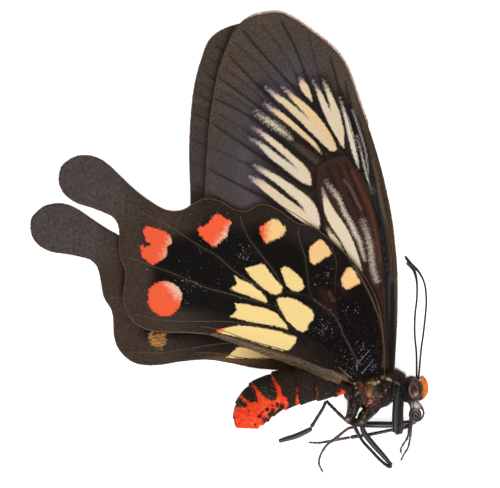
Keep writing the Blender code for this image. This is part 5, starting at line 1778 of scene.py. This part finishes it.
def coat_material(name, roughness, sheen):
    """Hairs and scales in the colour of each, finely uneven."""
    material, graph, shader = new_material(name, 0.3, roughness)
    light = graph.between(graph.noise(graph.here(), 9000.0, 2.0), 0.3, 0.7, 0.75, 1.25)
    graph.feed(shader, {
        "Base Color": graph.scaled(graph.attribute("ground", "Color"), light),
        "Sheen Weight": sheen,
    })
    return material


# Places of the coat: pixel, how many pixels round it, and how strong
ORANGE_END = ((251, 424), 14)
OLIVE_PLACES = [((266, 394), 11, 0.4), ((239, 402), 9, 0.3)]
FRONT_HAIR = [((396, 373), 7, 1.0), ((404, 376), 6, 1.0), ((384, 371), 8, 0.8), ((400, 388), 9, 0.9)]
LOWER_HAIR = [((382, 403), 9, 0.4), ((356, 412), 9, 0.15)]
NECK_TUFTS = [((396, 372), 8, 1.0), ((405, 376), 6, 1.0)]
FACE_PLACE = ((421, 388), 8)
CHIN_PLACE = ((417, 399), 5)
CROWN_PLACE = ((409, 376), 6)


def strongest(points, places_near):
    return np.max([most * near(points, pixel, reach) for pixel, reach, most in places_near], axis=0)


def add_abdomen_scales(cfg, draws, skin, column):
    tail = 1.0 - smooth_step((column - 340) / 6)
    roots, outs = scattered(skin, cfg.scales, draws, tail + 1e-9)
    ground, mark, _ = body_looks(roots)
    grainy = mark + draws.normal(0.0, 0.12, len(mark))
    orange = near(roots, *ORANGE_END)[:, None] * 0.7 + 0.25 * draws.random((len(roots), 1))
    red = np.array(cfg.red) * (1 - orange) + np.array(cfg.orange) * orange
    shades = np.where((grainy > 0)[:, None], red, ground)
    chance = 0.02 + sum(most * near(roots, pixel, reach) for pixel, reach, most in OLIVE_PLACES)
    golden = draws.random(len(roots)) < chance
    shades[golden] = mixed(shades[golden], tone("olive_scale"), 0.7)
    shades = uneven_shades(shades, draws, 0.16)
    ways = rearward(roots)
    ways -= outs * (ways * outs).sum(axis=1)[:, None]
    ways = unit(ways) + 0.09 * outs + draws.normal(0.0, 0.14, ways.shape)
    lengths = draws.uniform(0.16, 0.3, len(roots)) * MM
    add_coat("abdomen_scales", "scales", draws, roots - SCALE_ROOTED * outs, ways, outs, lengths, shades,
             body_unwrap(roots), coat_material("abdomen_scale", 0.6, 0.02))


def add_thorax_hair(cfg, draws, skin, column):
    co = places(skin)
    front = strongest(co, FRONT_HAIR)
    below = strongest(co, LOWER_HAIR)
    weight = front + below + 0.04 * smooth_step((column - 344) / 4) * (column < 404)
    roots, outs = scattered(skin, cfg.hairs, draws, weight)
    count = len(roots)
    tufted = strongest(roots, NECK_TUFTS)
    ways = 0.55 * rearward(roots) + 0.75 * outs + draws.normal(0.0, 0.28, (count, 3))
    ways[:, 1] += 0.3 * tufted
    shades = mixed(tone("black"), tone("brown_hair"), draws.random(count) ** 2 * 0.7)
    shades = mixed(shades, tone("neck_hair"), 0.75 * tufted)
    lengths = (0.3 + 0.45 * tufted) * MM * draws.uniform(0.6, 1.2, count)
    add_coat("thorax_hair", "thorax", draws, roots - ROOTED * outs, ways, outs, lengths, shades,
             body_unwrap(roots), coat_material("dark_hair", 0.5, 0.15))


def add_head_hair(cfg, draws, skin, column):
    roots, outs = scattered(skin, cfg.hairs, draws, smooth_step((column - 402) / 4) + 1e-9)
    count = len(roots)
    face = near(roots, *FACE_PLACE)
    chin = near(roots, *CHIN_PLACE)
    crown = near(roots, *CROWN_PLACE)
    shades = mixed(tone("head_hair"), tone("crown_hair"), crown * 0.8)
    shades = mixed(shades, cfg.face, np.clip(1.5 * face - 0.3, 0, 1))
    shades = mixed(shades, tone("chin_hair"), chin * 0.8)
    ways = 0.9 * outs + draws.normal(0.0, 0.3, (count, 3))
    ways[:, 0] += 0.5 * face - 0.35 * crown
    ways[:, 1] += 0.35 * crown - 0.25 * chin
    lengths = (0.22 + 0.3 * crown + 0.15 * chin) * MM * draws.uniform(0.6, 1.25, count)
    add_coat("head_hair", "head", draws, roots - ROOTED * outs, ways, outs, lengths, shades,
             body_unwrap(roots), coat_material("head_hair", 0.5, 0.15))


class BUTTERFLY_OT_coat(bpy.types.Operator):
    """Covers the body with the short scales of the abdomen and the hair of thorax and head"""

    bl_idname = "butterfly.coat"
    bl_label = "Body coat"

    def execute(self, context):
        cfg = context.scene.butterfly_body
        skin = bpy.data.objects["body_skin"].data
        draws = np.random.default_rng(cfg.seed)
        column = places(skin)[:, 0] / PIXEL + ORIGIN_PIXEL[0]
        add_abdomen_scales(cfg, draws, skin, column)
        add_thorax_hair(cfg, draws, skin, column)
        add_head_hair(cfg, draws, skin, column)
        return {"FINISHED"}


# Fringe of the wings and the fur of the hindwing's inner fold

# Where the near forewing's tip has a paler, longer fringe
APEX_RIM = [
    (240, 24), (255, 15.5), (277, 12.5), (293, 18.5), (312, 31.5), (332, 47.5), (346, 66), (360, 104),
    (366, 122),
]


def wing_patches(points):
    """Places on a map of a wing: its own flat shape, from 0 to 1."""
    low, high = points.min(axis=0), points.max(axis=0)
    return 0.01 + 0.97 * (points - low) / (high - low).max()


def add_fringe(wing, draws):
    """Two rows of short scales that stand out from the margin, past the wing's base."""
    cfg = bpy.context.scene.butterfly_wings
    near_edge = np.repeat(curve_through(flat(wing.edge), FRINGE_PITCH, closed=True), 2, axis=0)
    along = np.roll(near_edge, -4, axis=0) - np.roll(near_edge, 4, axis=0)
    tried = near_edge[:1] + PROBE * unit(along[:1])[:, ::-1] * (1, -1)
    sign = 1.0 if depth_in(tried, near_edge)[0] < 0 else -1.0
    outward = unit(along)[:, ::-1] * (sign, -sign)
    shown = away_from(near_edge, wing.root) > BARE_ROOT
    near_edge, along, outward = near_edge[shown], along[shown], outward[shown]
    count = len(near_edge)
    edge = turned(near_edge, wing.root, wing.turn)
    root = flat([wing.root])
    spin = turned(root + outward + 0.35 * unit(along), wing.root, wing.turn) - root
    heights = wing.height(edge) + draws.normal(0.0, 0.02, count) * MM
    roots = np.column_stack((edge - ROOTED * unit(spin), heights))
    ways = np.column_stack((spin + draws.normal(0.0, 0.14, (count, 2)), draws.normal(0.0, 0.12, count)))
    share = 0.5 if wing.hind else 0.35
    shades = mixed(tone("fringe"), cfg.rim_tan, share * draws.random(count))
    lengths = cfg.fringe * draws.uniform(0.55, 1.1, count)
    if wing.name == "forewing_right":
        apex = distance(near_edge, curve_through(flat(APEX_RIM), MM)) / APEX_REACH
        pale = (1.0 - smooth_step(apex)) * smooth_step(away_from(near_edge, APEX_RIM[0]) / APEX_START)
        shades = mixed(shades, tone("apex_fringe"), 0.95 * pale)
        lengths = lengths + pale * APEX_EXTRA
    widths = draws.uniform(0.05, 0.09, count) * MM
    curls = draws.normal(0.0, 0.1, count)
    name = wing.name + "_fringe"
    mesh = tufts(name, tuft_shape(4, 0.6), roots, ways, UP, lengths, widths, 0.2, curls,
                 uneven_shades(shades, draws, 0.25), wing_patches(near_edge))
    add_piece(name, mesh, coat_material(name, 0.6, 0.1))


def add_fold_fur(draws):
    """Hairs that lie along the rolled inner edge of the near hindwing, paler on its upper side."""
    line = np.repeat(curve_through(flat(INNER_FOLD), FUR_PITCH), 2, axis=0)
    way = unit(np.roll(line, -6, axis=0) - np.roll(line, 6, axis=0))
    line, way = line[8:-8], way[8:-8]
    count = len(line)
    share = fold_share(line)
    spread = draws.uniform(-1.0, 1.0, count)
    points = line + way[:, ::-1] * (-1, 1) * (spread * 0.9 * fold_width(line) * MM)[:, None]
    roll = (1.0 - smooth_step(np.abs(spread))) * smooth_step(share / 0.25) * (0.3 + 0.7 * share)
    heights = hindwing_right_height(points) + FOLD_ROLL * roll + FUR_LIFT
    ways = np.column_stack((-way + draws.normal(0.0, 0.1, (count, 2)), draws.uniform(-0.02, 0.08, count)))
    shades = mixed(tone("fur_gold"), tone("fur_grey"), smooth_step(0.5 + 1.2 * spread))
    shades = mixed(shades, tone("fur_pale"), (draws.random(count) < 0.12) * 0.6)
    shades = mixed(shades, tone("fur_dark"), (draws.random(count) < 0.3) * 0.8)
    lengths = draws.uniform(0.5, 1.1, count) * (0.5 + 0.6 * share) * MM
    add_coat("fold_fur", "fold", draws, np.column_stack((points, heights)), ways, UP, lengths,
             shades, wing_patches(points), coat_material("fold_fur", 0.45, 0.1))


class BUTTERFLY_OT_fringe(bpy.types.Operator):
    """Sets short scales along the wing margins and fur along the folded inner edge"""

    bl_idname = "butterfly.fringe"
    bl_label = "Wing fringe"

    def execute(self, context):
        for number, wing in enumerate(WINGS):
            add_fringe(wing, np.random.default_rng(FRINGE_SEED + number))
        add_fold_fur(np.random.default_rng(FOLD_SEED))
        return {"FINISHED"}


class BUTTERFLY_OT_scratches(bpy.types.Operator):
    """Strews pale loose scales and scratches over the near hindwing, with fibres at its base"""

    bl_idname = "butterfly.scratches"
    bl_label = "Scratches"

    def execute(self, context):
        wing = bpy.data.objects["hindwing_right_wing"].data
        draws = np.random.default_rng(SCRATCH_SEED)
        co = places(wing)
        top = co[normals(wing)[:, 2] > 0.5]

        def on_wing(points):
            nearest = [np.argmin(np.hypot(*(top[:, :2] - point).T)) for point in points]
            return np.column_stack((points, top[nearest, 2] + STREWN_LIFT))

        points = np.vstack([flat([pixel]) + draws.normal(0.0, 0.6 * reach * PIXEL, (count, 2))
                            for pixel, reach, count in (*SCRATCHES, PEARLS)])
        pearly = np.arange(len(points)) >= len(points) - PEARLS[2]
        kept = depth_in(points, flat(HINDWING_EDGE)) > STREWN_MARGIN
        points, pearly = points[kept], pearly[kept]
        count = len(points)
        turn = draws.uniform(0.0, math.tau, count)
        ways = np.column_stack((np.cos(turn), np.sin(turn), draws.uniform(0.0, 0.08, count)))
        lengths = np.where(pearly, 0.2, 0.06 + 0.34 * draws.random(count) ** 3) * MM
        widths = np.where(pearly, 0.12, draws.uniform(0.03, 0.05, count)) * MM
        shades = np.where(pearly[:, None], tone("pearl"), tone("loose_scale"))
        mesh = tufts("wing_scratches", tuft_shape(4, 0.5), on_wing(points), ways, UP, lengths,
                     widths, 0.2, np.zeros(count), uneven_shades(shades, draws, 0.45), wing_patches(points))
        add_piece("wing_scratches", mesh, coat_material("pale_scale", 0.5, 0.0))

        lines = []
        for route in HAIRLINES:
            line = curve_through(flat(route), FIBRE_STEP)
            lines.append((on_wing(line), np.linspace(0.016, 0.034, len(line)) * MM))
        mesh = tubes("base_fibres", lines)
        set_colours(mesh, "ground", tone("fibre"))
        add_piece("base_fibres", mesh, coat_material("fibre", 0.5, 0.0))
        return {"FINISHED"}


# Eyes, palps, proboscis, antennae and legs

class LimbSettings(bpy.types.PropertyGroup):
    """Sizes and colours of eyes, palps, proboscis, antennae and legs"""

    facet: length("Facet", "Distance between the facets of an eye", 0.035)
    shaft: length("Feeler shaft", "Radius of an antenna's shaft", 0.155)
    club: length("Feeler club", "Radius of an antenna's club", 0.27)
    antenna_segment: length("Feeler segment", "Length of a segment of an antenna", 0.42)
    coil_ring: length("Coil rings", "Distance between the fine rings of the proboscis", 0.11)
    bristle: length("Bristles", "Length of the leg's bristles", 0.26)
    eye: shade("Eye", "Dark red-brown of the eyes", 70, 30, 20)
    eye_ring: shade("Eye ring", "Brown ring round the eyes", 38, 22, 18)
    # Colour of the painted highlights in the eyes
    eye_gleam: shade("Eye gleam", "Pale lilac arcs in the eyes", 196, 168, 176)
    horn: shade("Legs", "Black-brown cuticle of legs", 34, 27, 25)
    blue_black: shade("Thigh", "Blue-black cuticle of the thighs", 24, 25, 32)
    joint: shade("Joints", "Pale worn joints and scratches", 150, 118, 100)
    tarsus: shade("Foot", "Red-brown foot joints", 66, 46, 42)
    feeler: shade("Feelers", "Black of the antennae", 16, 14, 15)


def eye_material():
    cfg = bpy.context.scene.butterfly_limbs
    material, graph, shader = new_material("eye", 0.3, 0.3)
    here = graph.here()
    cloud = graph.between(graph.noise(here, 2200.0, 3.0), 0.3, 0.7, 0.65, 1.3)
    facets = graph.cells(here, 1.0 / cfg.facet)
    graph.feed(shader, {
        "Base Color": graph.scaled(graph.attribute("ground", "Color"), cloud),
        "Coat Weight": 0.2,
        "Coat Roughness": 0.12,
        "Normal": graph.bump(facets["Distance"], FACET_RELIEF, 0.5),
    })
    return material


# Painted highlights in an eye, pale arcs: line across its face as shares of its half sizes, half width,
# strength
EYE_GLEAMS = [
    ([(-0.62, 0.2), (-0.66, -0.1), (-0.56, -0.42), (-0.34, -0.68), (-0.1, -0.8)], 0.05, 0.6),
    ([(0.0, 0.5), (0.24, 0.22), (0.36, -0.12), (0.34, -0.5)], 0.045, 0.4),
    ([(-0.5, 0.42), (-0.2, 0.64), (0.14, 0.66), (0.44, 0.44)], 0.04, 0.2),
]


class BUTTERFLY_OT_eyes(bpy.types.Operator):
    """Makes the two domed eyes, ringed with brown and with painted highlights in pale arcs"""

    bl_idname = "butterfly.eyes"
    bl_label = "Eyes"

    def execute(self, context):
        cfg = context.scene.butterfly_limbs
        material = eye_material()
        for name, side in (("eye_right", 1), ("eye_left", -1)):
            middle = at(*EYE_PIXEL, BODY_HEIGHT + side * EYE_OFFSET * MM)
            mesh = keep_mesh(name, ball(middle, EYE_HALF, 72))
            local = (places(mesh) - np.array(middle)) / MM / np.array(EYE_HALF)
            away = np.hypot(local[:, 0], local[:, 1])
            outside = np.maximum(smooth_step((away - 0.74) / 0.1),
                                 smooth_step((0.25 - side * local[:, 2]) / 0.2))
            ground = mixed(cfg.eye, tone("eye_middle"), near_place(local, (0.05, 0.1), 0.45))
            ground = mixed(ground, tone("eye_warm"), 0.6 * near_place(local, (-0.05, -0.45), 0.3))
            ground = mixed(ground, cfg.eye_ring, outside)
            ground = mixed(ground, tone("eye_socket"), 0.5 * outside * smooth_step(local[:, 1] - 0.2))
            # Painted highlights
            for line, half, strength in EYE_GLEAMS:
                gap = distance(local[:, :2], curve_through(line, 0.1)) / half
                ground = mixed(ground, cfg.eye_gleam, strength * np.exp(-gap * gap))
            set_colours(mesh, "ground", ground)
            add_piece(name + "_dome", mesh, material, [name])
        return {"FINISHED"}


def near_place(local, place, reach):
    gap = np.hypot(local[:, 0] - place[0], local[:, 1] - place[1]) / reach
    return np.exp(-gap * gap)


class BUTTERFLY_OT_palps(bpy.types.Operator):
    """Makes the two orange-haired palps"""

    bl_idname = "butterfly.palps"
    bl_label = "Palps"

    def execute(self, context):
        cfg = context.scene.butterfly_body
        draws = np.random.default_rng(cfg.seed + 5)
        lines = []
        for side in (1, -1):
            rows = [(*at(*pixel, BODY_HEIGHT + side * PALP_OFFSET * MM), (radius - 0.05) * MM)
                    for pixel, radius in zip(PALP, PALP_RADII)]
            lines.append(tapered(rows, TAPER_STEP))
        skin = tubes("palps", lines, 4)
        dark = near(places(skin), PALP_FOOT, 4.6)
        set_colours(skin, "ground", mixed(cfg.face, tone("palp_foot"), dark))
        add_piece("palps", skin, coat_material("palp_skin", 0.5, 0.1), ["palp_left", "palp_right"])
        roots, outs = scattered(skin, 2 * cfg.hairs // 3, draws)
        count = len(roots)
        shades = mixed(cfg.face, tone("palp_pale"), draws.random(count) ** 2 * 0.8)
        shades = mixed(shades, tone("palp_dark"), np.clip(1.7 * near(roots, PALP_FOOT, 4.6), 0, 1))
        ways = 0.4 * outs + draws.normal(0.0, 0.16, (count, 3))
        ways[:, 1] += 0.6
        ways[:, 0] += 0.25
        lengths = draws.uniform(0.12, 0.26, count) * MM
        add_coat("palp_hair", "palps", draws, roots - ROOTED * outs, ways, outs, lengths, shades,
                 body_unwrap(roots), coat_material("palp_hair", 0.5, 0.08))
        return {"FINISHED"}


def horn_material(name, roughness, coat, speckle):
    """Horny cuticle in the mesh's own colours, worn pale in fine specks."""
    cfg = bpy.context.scene.butterfly_limbs
    material, graph, shader = new_material(name, 0.45, roughness)
    here = graph.here()
    fine = graph.noise(here, 6500.0, 4.0, 0.7)
    light = graph.between(fine, 0.25, 0.75, 0.55, 1.5)
    colour = graph.scaled(graph.attribute("ground", "Color"), light)
    specks = graph.group(dust(), {"Place": here, "Mask": speckle, "Size": HORN_DUST})
    graph.feed(shader, {
        "Base Color": graph.mix(graph.times(specks["Specks"], 0.7), colour, (*cfg.joint, 1.0)),
        "Coat Weight": coat,
        "Coat Roughness": 0.2,
        "Normal": graph.bump(fine, HORN_RELIEF, 0.7),
    })
    return material


class BUTTERFLY_OT_proboscis(bpy.types.Operator):
    """Makes the coiled proboscis, finely ringed"""

    bl_idname = "butterfly.proboscis"
    bl_label = "Proboscis"

    def execute(self, context):
        cfg = context.scene.butterfly_limbs
        points, radii = tapered([(*at(*pixel, BODY_HEIGHT), radius * MM) for pixel, radius in PROBOSCIS],
                                COIL_STEP)
        steps = run_lengths(points)
        points[:, 2] += COIL_RISE * steps / steps[-1]
        rings = 1.0 + 0.05 * np.sin(math.tau * steps / cfg.coil_ring)
        base = tapered([(*at(*pixel, BODY_HEIGHT), radius * MM) for pixel, radius in PROBOSCIS_ROOT],
                       TAPER_STEP)
        mesh = tubes("proboscis", [(points, radii * rings), base], 3)
        co = places(mesh)
        ground = tone("black")
        # Tints, among them a painted reflection and a painted highlight
        for tint, pixel, reach, strength in COIL_TINTS:
            ground = mixed(ground, tone(tint), strength * near(co, pixel, reach))
        set_colours(mesh, "ground", ground)
        horn = horn_material("proboscis", 0.3, 0.4, 0.02)
        add_piece("proboscis_coil", mesh, horn, ["proboscis"])
        return {"FINISHED"}


# An antenna's radius along it: share of the length, and how many times the shaft's radius
ANTENNA_SHAPE = [
    (0, 1.7), (0.012, 1.75), (0.03, 1.35), (0.05, 1.0), (0.78, 1.0), (0.85, 1.3), (0.9, 1.6), (0.95, 1.74),
    (0.985, 1.45), (1, 0.5),
]


class BUTTERFLY_OT_antennae(bpy.types.Operator):
    """Makes both antennae of short segments, ending in clubs"""

    bl_idname = "butterfly.antennae"
    bl_label = "Antennae"

    def execute(self, context):
        cfg = context.scene.butterfly_limbs
        material = horn_material("antenna", 0.5, 0.1, 0.03)
        for name, route in ANTENNAE.items():
            line = curve_through([at(x, y, z * MM) for x, y, z in route], FEELER_STEP)
            steps = run_lengths(line)
            share = steps / steps[-1]
            size = np.minimum(np.interp(share, *zip(*ANTENNA_SHAPE)) * cfg.shaft, cfg.club)
            within = (steps / cfg.antenna_segment) % 1.0
            size *= 1.0 + 0.11 * np.sin(math.pi * within) ** 0.6 - 0.08
            mesh = tubes(name, [(line, size)], 3)
            co = places(mesh)
            nearest = np.argmin(np.linalg.norm(co[:, None, :] - line[None, ::6], axis=2), axis=1) * 6
            band = smooth_step((np.abs(within[nearest] - 0.5) - 0.4) / 0.1)
            ground = mixed(cfg.feeler, tone("feeler_band"), 0.5 * band)
            ground = mixed(ground, tone("feeler_tip"), 0.8 * smooth_step((share[nearest] - 0.965) / 0.03))
            set_colours(mesh, "ground", ground)
            add_piece(name + "_segments", mesh, material, [name])
        return {"FINISHED"}


def leg_part(route, start, end, kind):
    """One length of a leg as tube points with radii: kind is thigh, shin or foot."""
    line = curve_through([at(x, y, z * MM) for x, y, z in route], LEG_STEP)
    steps = run_lengths(line)
    share = steps / steps[-1]
    size = (start + (end - start) * share) * MM
    if kind == "thigh":
        size *= 0.88 + 0.3 * np.sin(math.pi * np.clip(share * 1.05 + 0.04, 0, 1)) ** 0.7
    elif kind == "shin":
        size *= 0.95 + 0.15 * smooth_step((share - 0.82) / 0.1) - 0.3 * smooth_step((share - 0.965) / 0.035)
    else:
        within = within_parts(share, FOOT_JOINTS)
        size *= 0.9 + 0.26 * smooth_step((within - 0.3) / 0.6) - 0.24 * smooth_step((within - 0.93) / 0.07)
    size *= 0.35 + 0.65 * smooth_step(np.minimum(share, 1.0 - share) * steps[-1] / LEG_END)
    return line, size


# The loose leg lies with its broken foot towards the body
LOOSE_LEG = "leg_hind_right"
CLAW_TURNS = (-0.45, 0.45)
CLAW_RADII = (0.055 * MM, 0.012 * MM)
# How far back a claw starts, how far out it bends and ends, how far its tip drops, and its lowest place
CLAW_BACK = 0.05 * MM
CLAW_BEND = 0.16 * MM
CLAW_END = 0.26 * MM
CLAW_DROP = 0.1 * MM
CLAW_FLOOR = 0.06 * MM
# Length over which each part of a leg rounds off at its ends
LEG_END = 0.14 * MM
# Size of the worn patches of a leg
WORN_PATCH = 0.4 * MM
# The joints of a foot, as shares of its length
FOOT_JOINTS = (0.0, 0.46, 0.64, 0.77, 0.87, 1.0)


def claws(line):
    """The two claws at the end of a foot, as tube points with radii."""
    way = Vector(line[-1] - line[-3]).normalized()
    tip = Vector(line[-1])
    found = []
    for turn in CLAW_TURNS:
        side = Vector((way.x * math.cos(turn) - way.y * math.sin(turn),
                       way.x * math.sin(turn) + way.y * math.cos(turn), -0.2))
        hooked = tip + CLAW_END * side + Vector((0, 0, -CLAW_DROP))
        claw = curve_through([tip - CLAW_BACK * way, tip + CLAW_BEND * side, hooked], CLAW_STEP)
        claw[:, 2] = np.maximum(claw[:, 2], CLAW_FLOOR)
        found.append((claw, np.linspace(*CLAW_RADII, len(claw))))
    return found


def leg_ground(co, lengths, seed):
    """Each length's own tint, worn pale at its ends and in patches."""
    cfg = bpy.context.scene.butterfly_limbs
    tints = {"thigh": cfg.blue_black, "shin": cfg.horn, "foot": cfg.tarsus}
    ground = np.tile(cfg.horn, (len(co), 1)).astype(float)
    best = np.full(len(co), np.inf)
    worn = 0.25 * smooth_step(ripple(co, WORN_PATCH, seed) * 2.0 - 0.5)
    for line, _, kind in lengths:
        gap = np.linalg.norm(co[:, None, :] - line[None, ::3], axis=2)
        nearest = np.argmin(gap, axis=1) * 3
        mine = gap.min(axis=1) < best
        best = np.minimum(best, gap.min(axis=1))
        ends = np.minimum(nearest, len(line) - 1 - nearest) * 0.06
        own = mixed(tints[kind], cfg.joint, 0.5 * np.exp(-(ends / 0.16) ** 2))
        ground[mine] = mixed(own, tone("leg_worn"), worn)[mine]
    return ground


def add_bristles(name, lengths, draws, material):
    """Short bristles that lean along each length of a leg, fewer and shorter on the thigh."""
    rows = []
    for line, size, kind in lengths:
        thigh = kind == "thigh"
        count = int(len(line) * (0.5 if thigh else 1.6))
        picked = draws.integers(4, len(line) - 4, count)
        along = unit(line[picked + 2] - line[picked - 2])
        outs = unit(np.cross(along, draws.normal(0.0, 1.0, (count, 3))))
        roots = line[picked] + outs * size[picked][:, None] * 0.9
        reach = draws.uniform(0.45, 1.0, count) * (0.6 if thigh else 1.0)
        rows.append(np.column_stack((roots, along + 0.7 * outs, outs, reach)))
    roots, ways, outs, reach = np.split(np.vstack(rows), (3, 6, 9), axis=1)
    shades = np.tile(tone("bristle"), (len(roots), 1))
    add_coat(name + "_bristles", "bristles", draws, roots, ways, outs,
             reach[:, 0] * bpy.context.scene.butterfly_limbs.bristle, shades, wing_patches(roots[:, :2]),
             material)


class BUTTERFLY_OT_legs(bpy.types.Operator):
    """Makes the six legs with thighs, shins, five-jointed feet, claws and bristles"""

    bl_idname = "butterfly.legs"
    bl_label = "Legs"

    def execute(self, context):
        material = horn_material("leg", 0.4, 0.12, 0.04)
        bristle = coat_material("bristle", 0.4, 0.1)
        for number, (name, parts) in enumerate(LEGS.items()):
            kinds = ("foot", "shin", "thigh") if name == LOOSE_LEG else ("thigh", "shin", "foot")
            lengths = [(*leg_part(*part, kind), kind) for part, kind in zip(parts, kinds)]
            lines = [(line, size) for line, size, _ in lengths]
            if name != LOOSE_LEG:
                lines += claws(lines[-1][0])
            mesh = tubes(name, lines, 3)
            set_colours(mesh, "ground", leg_ground(places(mesh), lengths, number))
            add_piece(name + "_skin", mesh, material, [name])
            add_bristles(name, lengths, np.random.default_rng(LEG_SEED + number), bristle)
        return {"FINISHED"}


# Stage

class StageSettings(bpy.types.PropertyGroup):
    """Camera, floor and lights"""

    camera_height: FloatProperty(name="Camera height", description="Height of the camera over the floor",
                                 default=0.9, unit="LENGTH")
    frame_width: length("Frame width", "Width of the floor that the picture shows", 75.07)
    floor: shade("Floor", "White paper below the butterfly", 250, 250, 250)
    glow: FloatProperty(name="Paper glow", description="Light of the lit paper itself", default=0.8)
    key: FloatProperty(name="Key light", description="Power of the soft light from the lower right",
                       default=2.1)
    fill: FloatProperty(name="Fill light", description="Power of the broad light from above", default=1.15)
    world: FloatProperty(name="World", description="Brightness of the white surroundings", default=0.31)


FRAME_MIDDLE_PIXEL = (250.0, 244.0)
FLOOR_HALF = 1.5
SENSOR = 36.0
WHITE = (1.0, 1.0, 1.0, 1.0)
# Soft lights: name, place from the middle of the picture and width in metres; powers are settings
LIGHTS = (("key", (0.12, -0.34, 0.38), 0.3), ("fill", (-0.3, 0.35, 0.6), 0.7))


def add_light(name, where, aim, size, power):
    lamp = bpy.data.lights.new(name, "AREA")
    lamp.shape = "DISK"
    lamp.size = size
    lamp.energy = power
    obj = new_object(name, lamp)
    obj.location = where
    obj.rotation_euler = (aim - where).to_track_quat("-Z", "Y").to_euler()


class BUTTERFLY_OT_stage(bpy.types.Operator):
    """Lays the white floor and sets the camera and the soft lights"""

    bl_idname = "butterfly.stage"
    bl_label = "Stage"

    def execute(self, context):
        cfg = context.scene.butterfly_stage
        middle = at(*FRAME_MIDDLE_PIXEL)
        bm = bmesh.new()
        bmesh.ops.create_grid(bm, x_segments=1, y_segments=1, size=FLOOR_HALF)
        mesh = keep_mesh("floor", bm)
        paper, graph, shader = new_material("paper", 0.0, 0.9)
        light = graph.between(graph.noise(graph.here(), 900.0, 3.0), 0.3, 0.7, 0.985, 1.0)
        graph.feed(shader, {
            "Base Color": graph.mix(light, (0.9, 0.9, 0.9, 1.0), (*cfg.floor, 1.0)),
            "Emission Color": WHITE,
            "Emission Strength": cfg.glow,
        })
        mesh.materials.append(paper)
        floor = new_object("floor", mesh)

        lens = bpy.data.cameras.new("camera")
        lens.sensor_width = SENSOR
        lens.lens = SENSOR * cfg.camera_height / cfg.frame_width
        camera = new_object("camera", lens)
        camera.location = middle + Vector((0.0, 0.0, cfg.camera_height))
        context.scene.camera = camera

        for name, offset, size in LIGHTS:
            add_light(name, middle + Vector(offset), middle, size, getattr(cfg, name))
        world = bpy.data.worlds.new("surroundings")
        context.scene.world = world
        world.use_nodes = True
        Graph(world.node_tree).feed(world.node_tree.nodes["Background"], {0: WHITE, 1: cfg.world})
        context.scene.view_settings.view_transform = "Standard"
        return {"FINISHED"}


PIECES = (
    BUTTERFLY_OT_forewings, BUTTERFLY_OT_hindwings, BUTTERFLY_OT_body, BUTTERFLY_OT_coat,
    BUTTERFLY_OT_fringe, BUTTERFLY_OT_scratches, BUTTERFLY_OT_eyes, BUTTERFLY_OT_palps,
    BUTTERFLY_OT_proboscis, BUTTERFLY_OT_antennae, BUTTERFLY_OT_legs, BUTTERFLY_OT_stage,
)
SETTINGS = {
    "butterfly_wings": WingSettings, "butterfly_body": BodySettings, "butterfly_limbs": LimbSettings,
    "butterfly_stage": StageSettings,
}


class BUTTERFLY_PT_panel(bpy.types.Panel):
    """Lists the butterfly's pieces"""

    bl_idname = "BUTTERFLY_PT_panel"
    bl_label = "Butterfly"
    bl_space_type = "VIEW_3D"
    bl_region_type = "UI"
    bl_category = "Butterfly"

    def draw(self, context):
        for piece in PIECES:
            self.layout.operator(piece.bl_idname)


def register():
    for group in (*SETTINGS.values(), *PIECES, BUTTERFLY_PT_panel):
        bpy.utils.register_class(group)
    for name, group in SETTINGS.items():
        setattr(bpy.types.Scene, name, PointerProperty(type=group))


def unregister():
    for name in SETTINGS:
        delattr(bpy.types.Scene, name)
    for group in (BUTTERFLY_PT_panel, *PIECES[::-1], *SETTINGS.values()):
        bpy.utils.unregister_class(group)


def main():
    register()
    bpy.ops.butterfly.forewings()
    bpy.ops.butterfly.hindwings()
    bpy.ops.butterfly.body()
    bpy.ops.butterfly.coat()
    bpy.ops.butterfly.fringe()
    bpy.ops.butterfly.scratches()
    bpy.ops.butterfly.eyes()
    bpy.ops.butterfly.palps()
    bpy.ops.butterfly.proboscis()
    bpy.ops.butterfly.antennae()
    bpy.ops.butterfly.legs()
    bpy.ops.butterfly.stage()


if __name__ == "__main__":
    main()
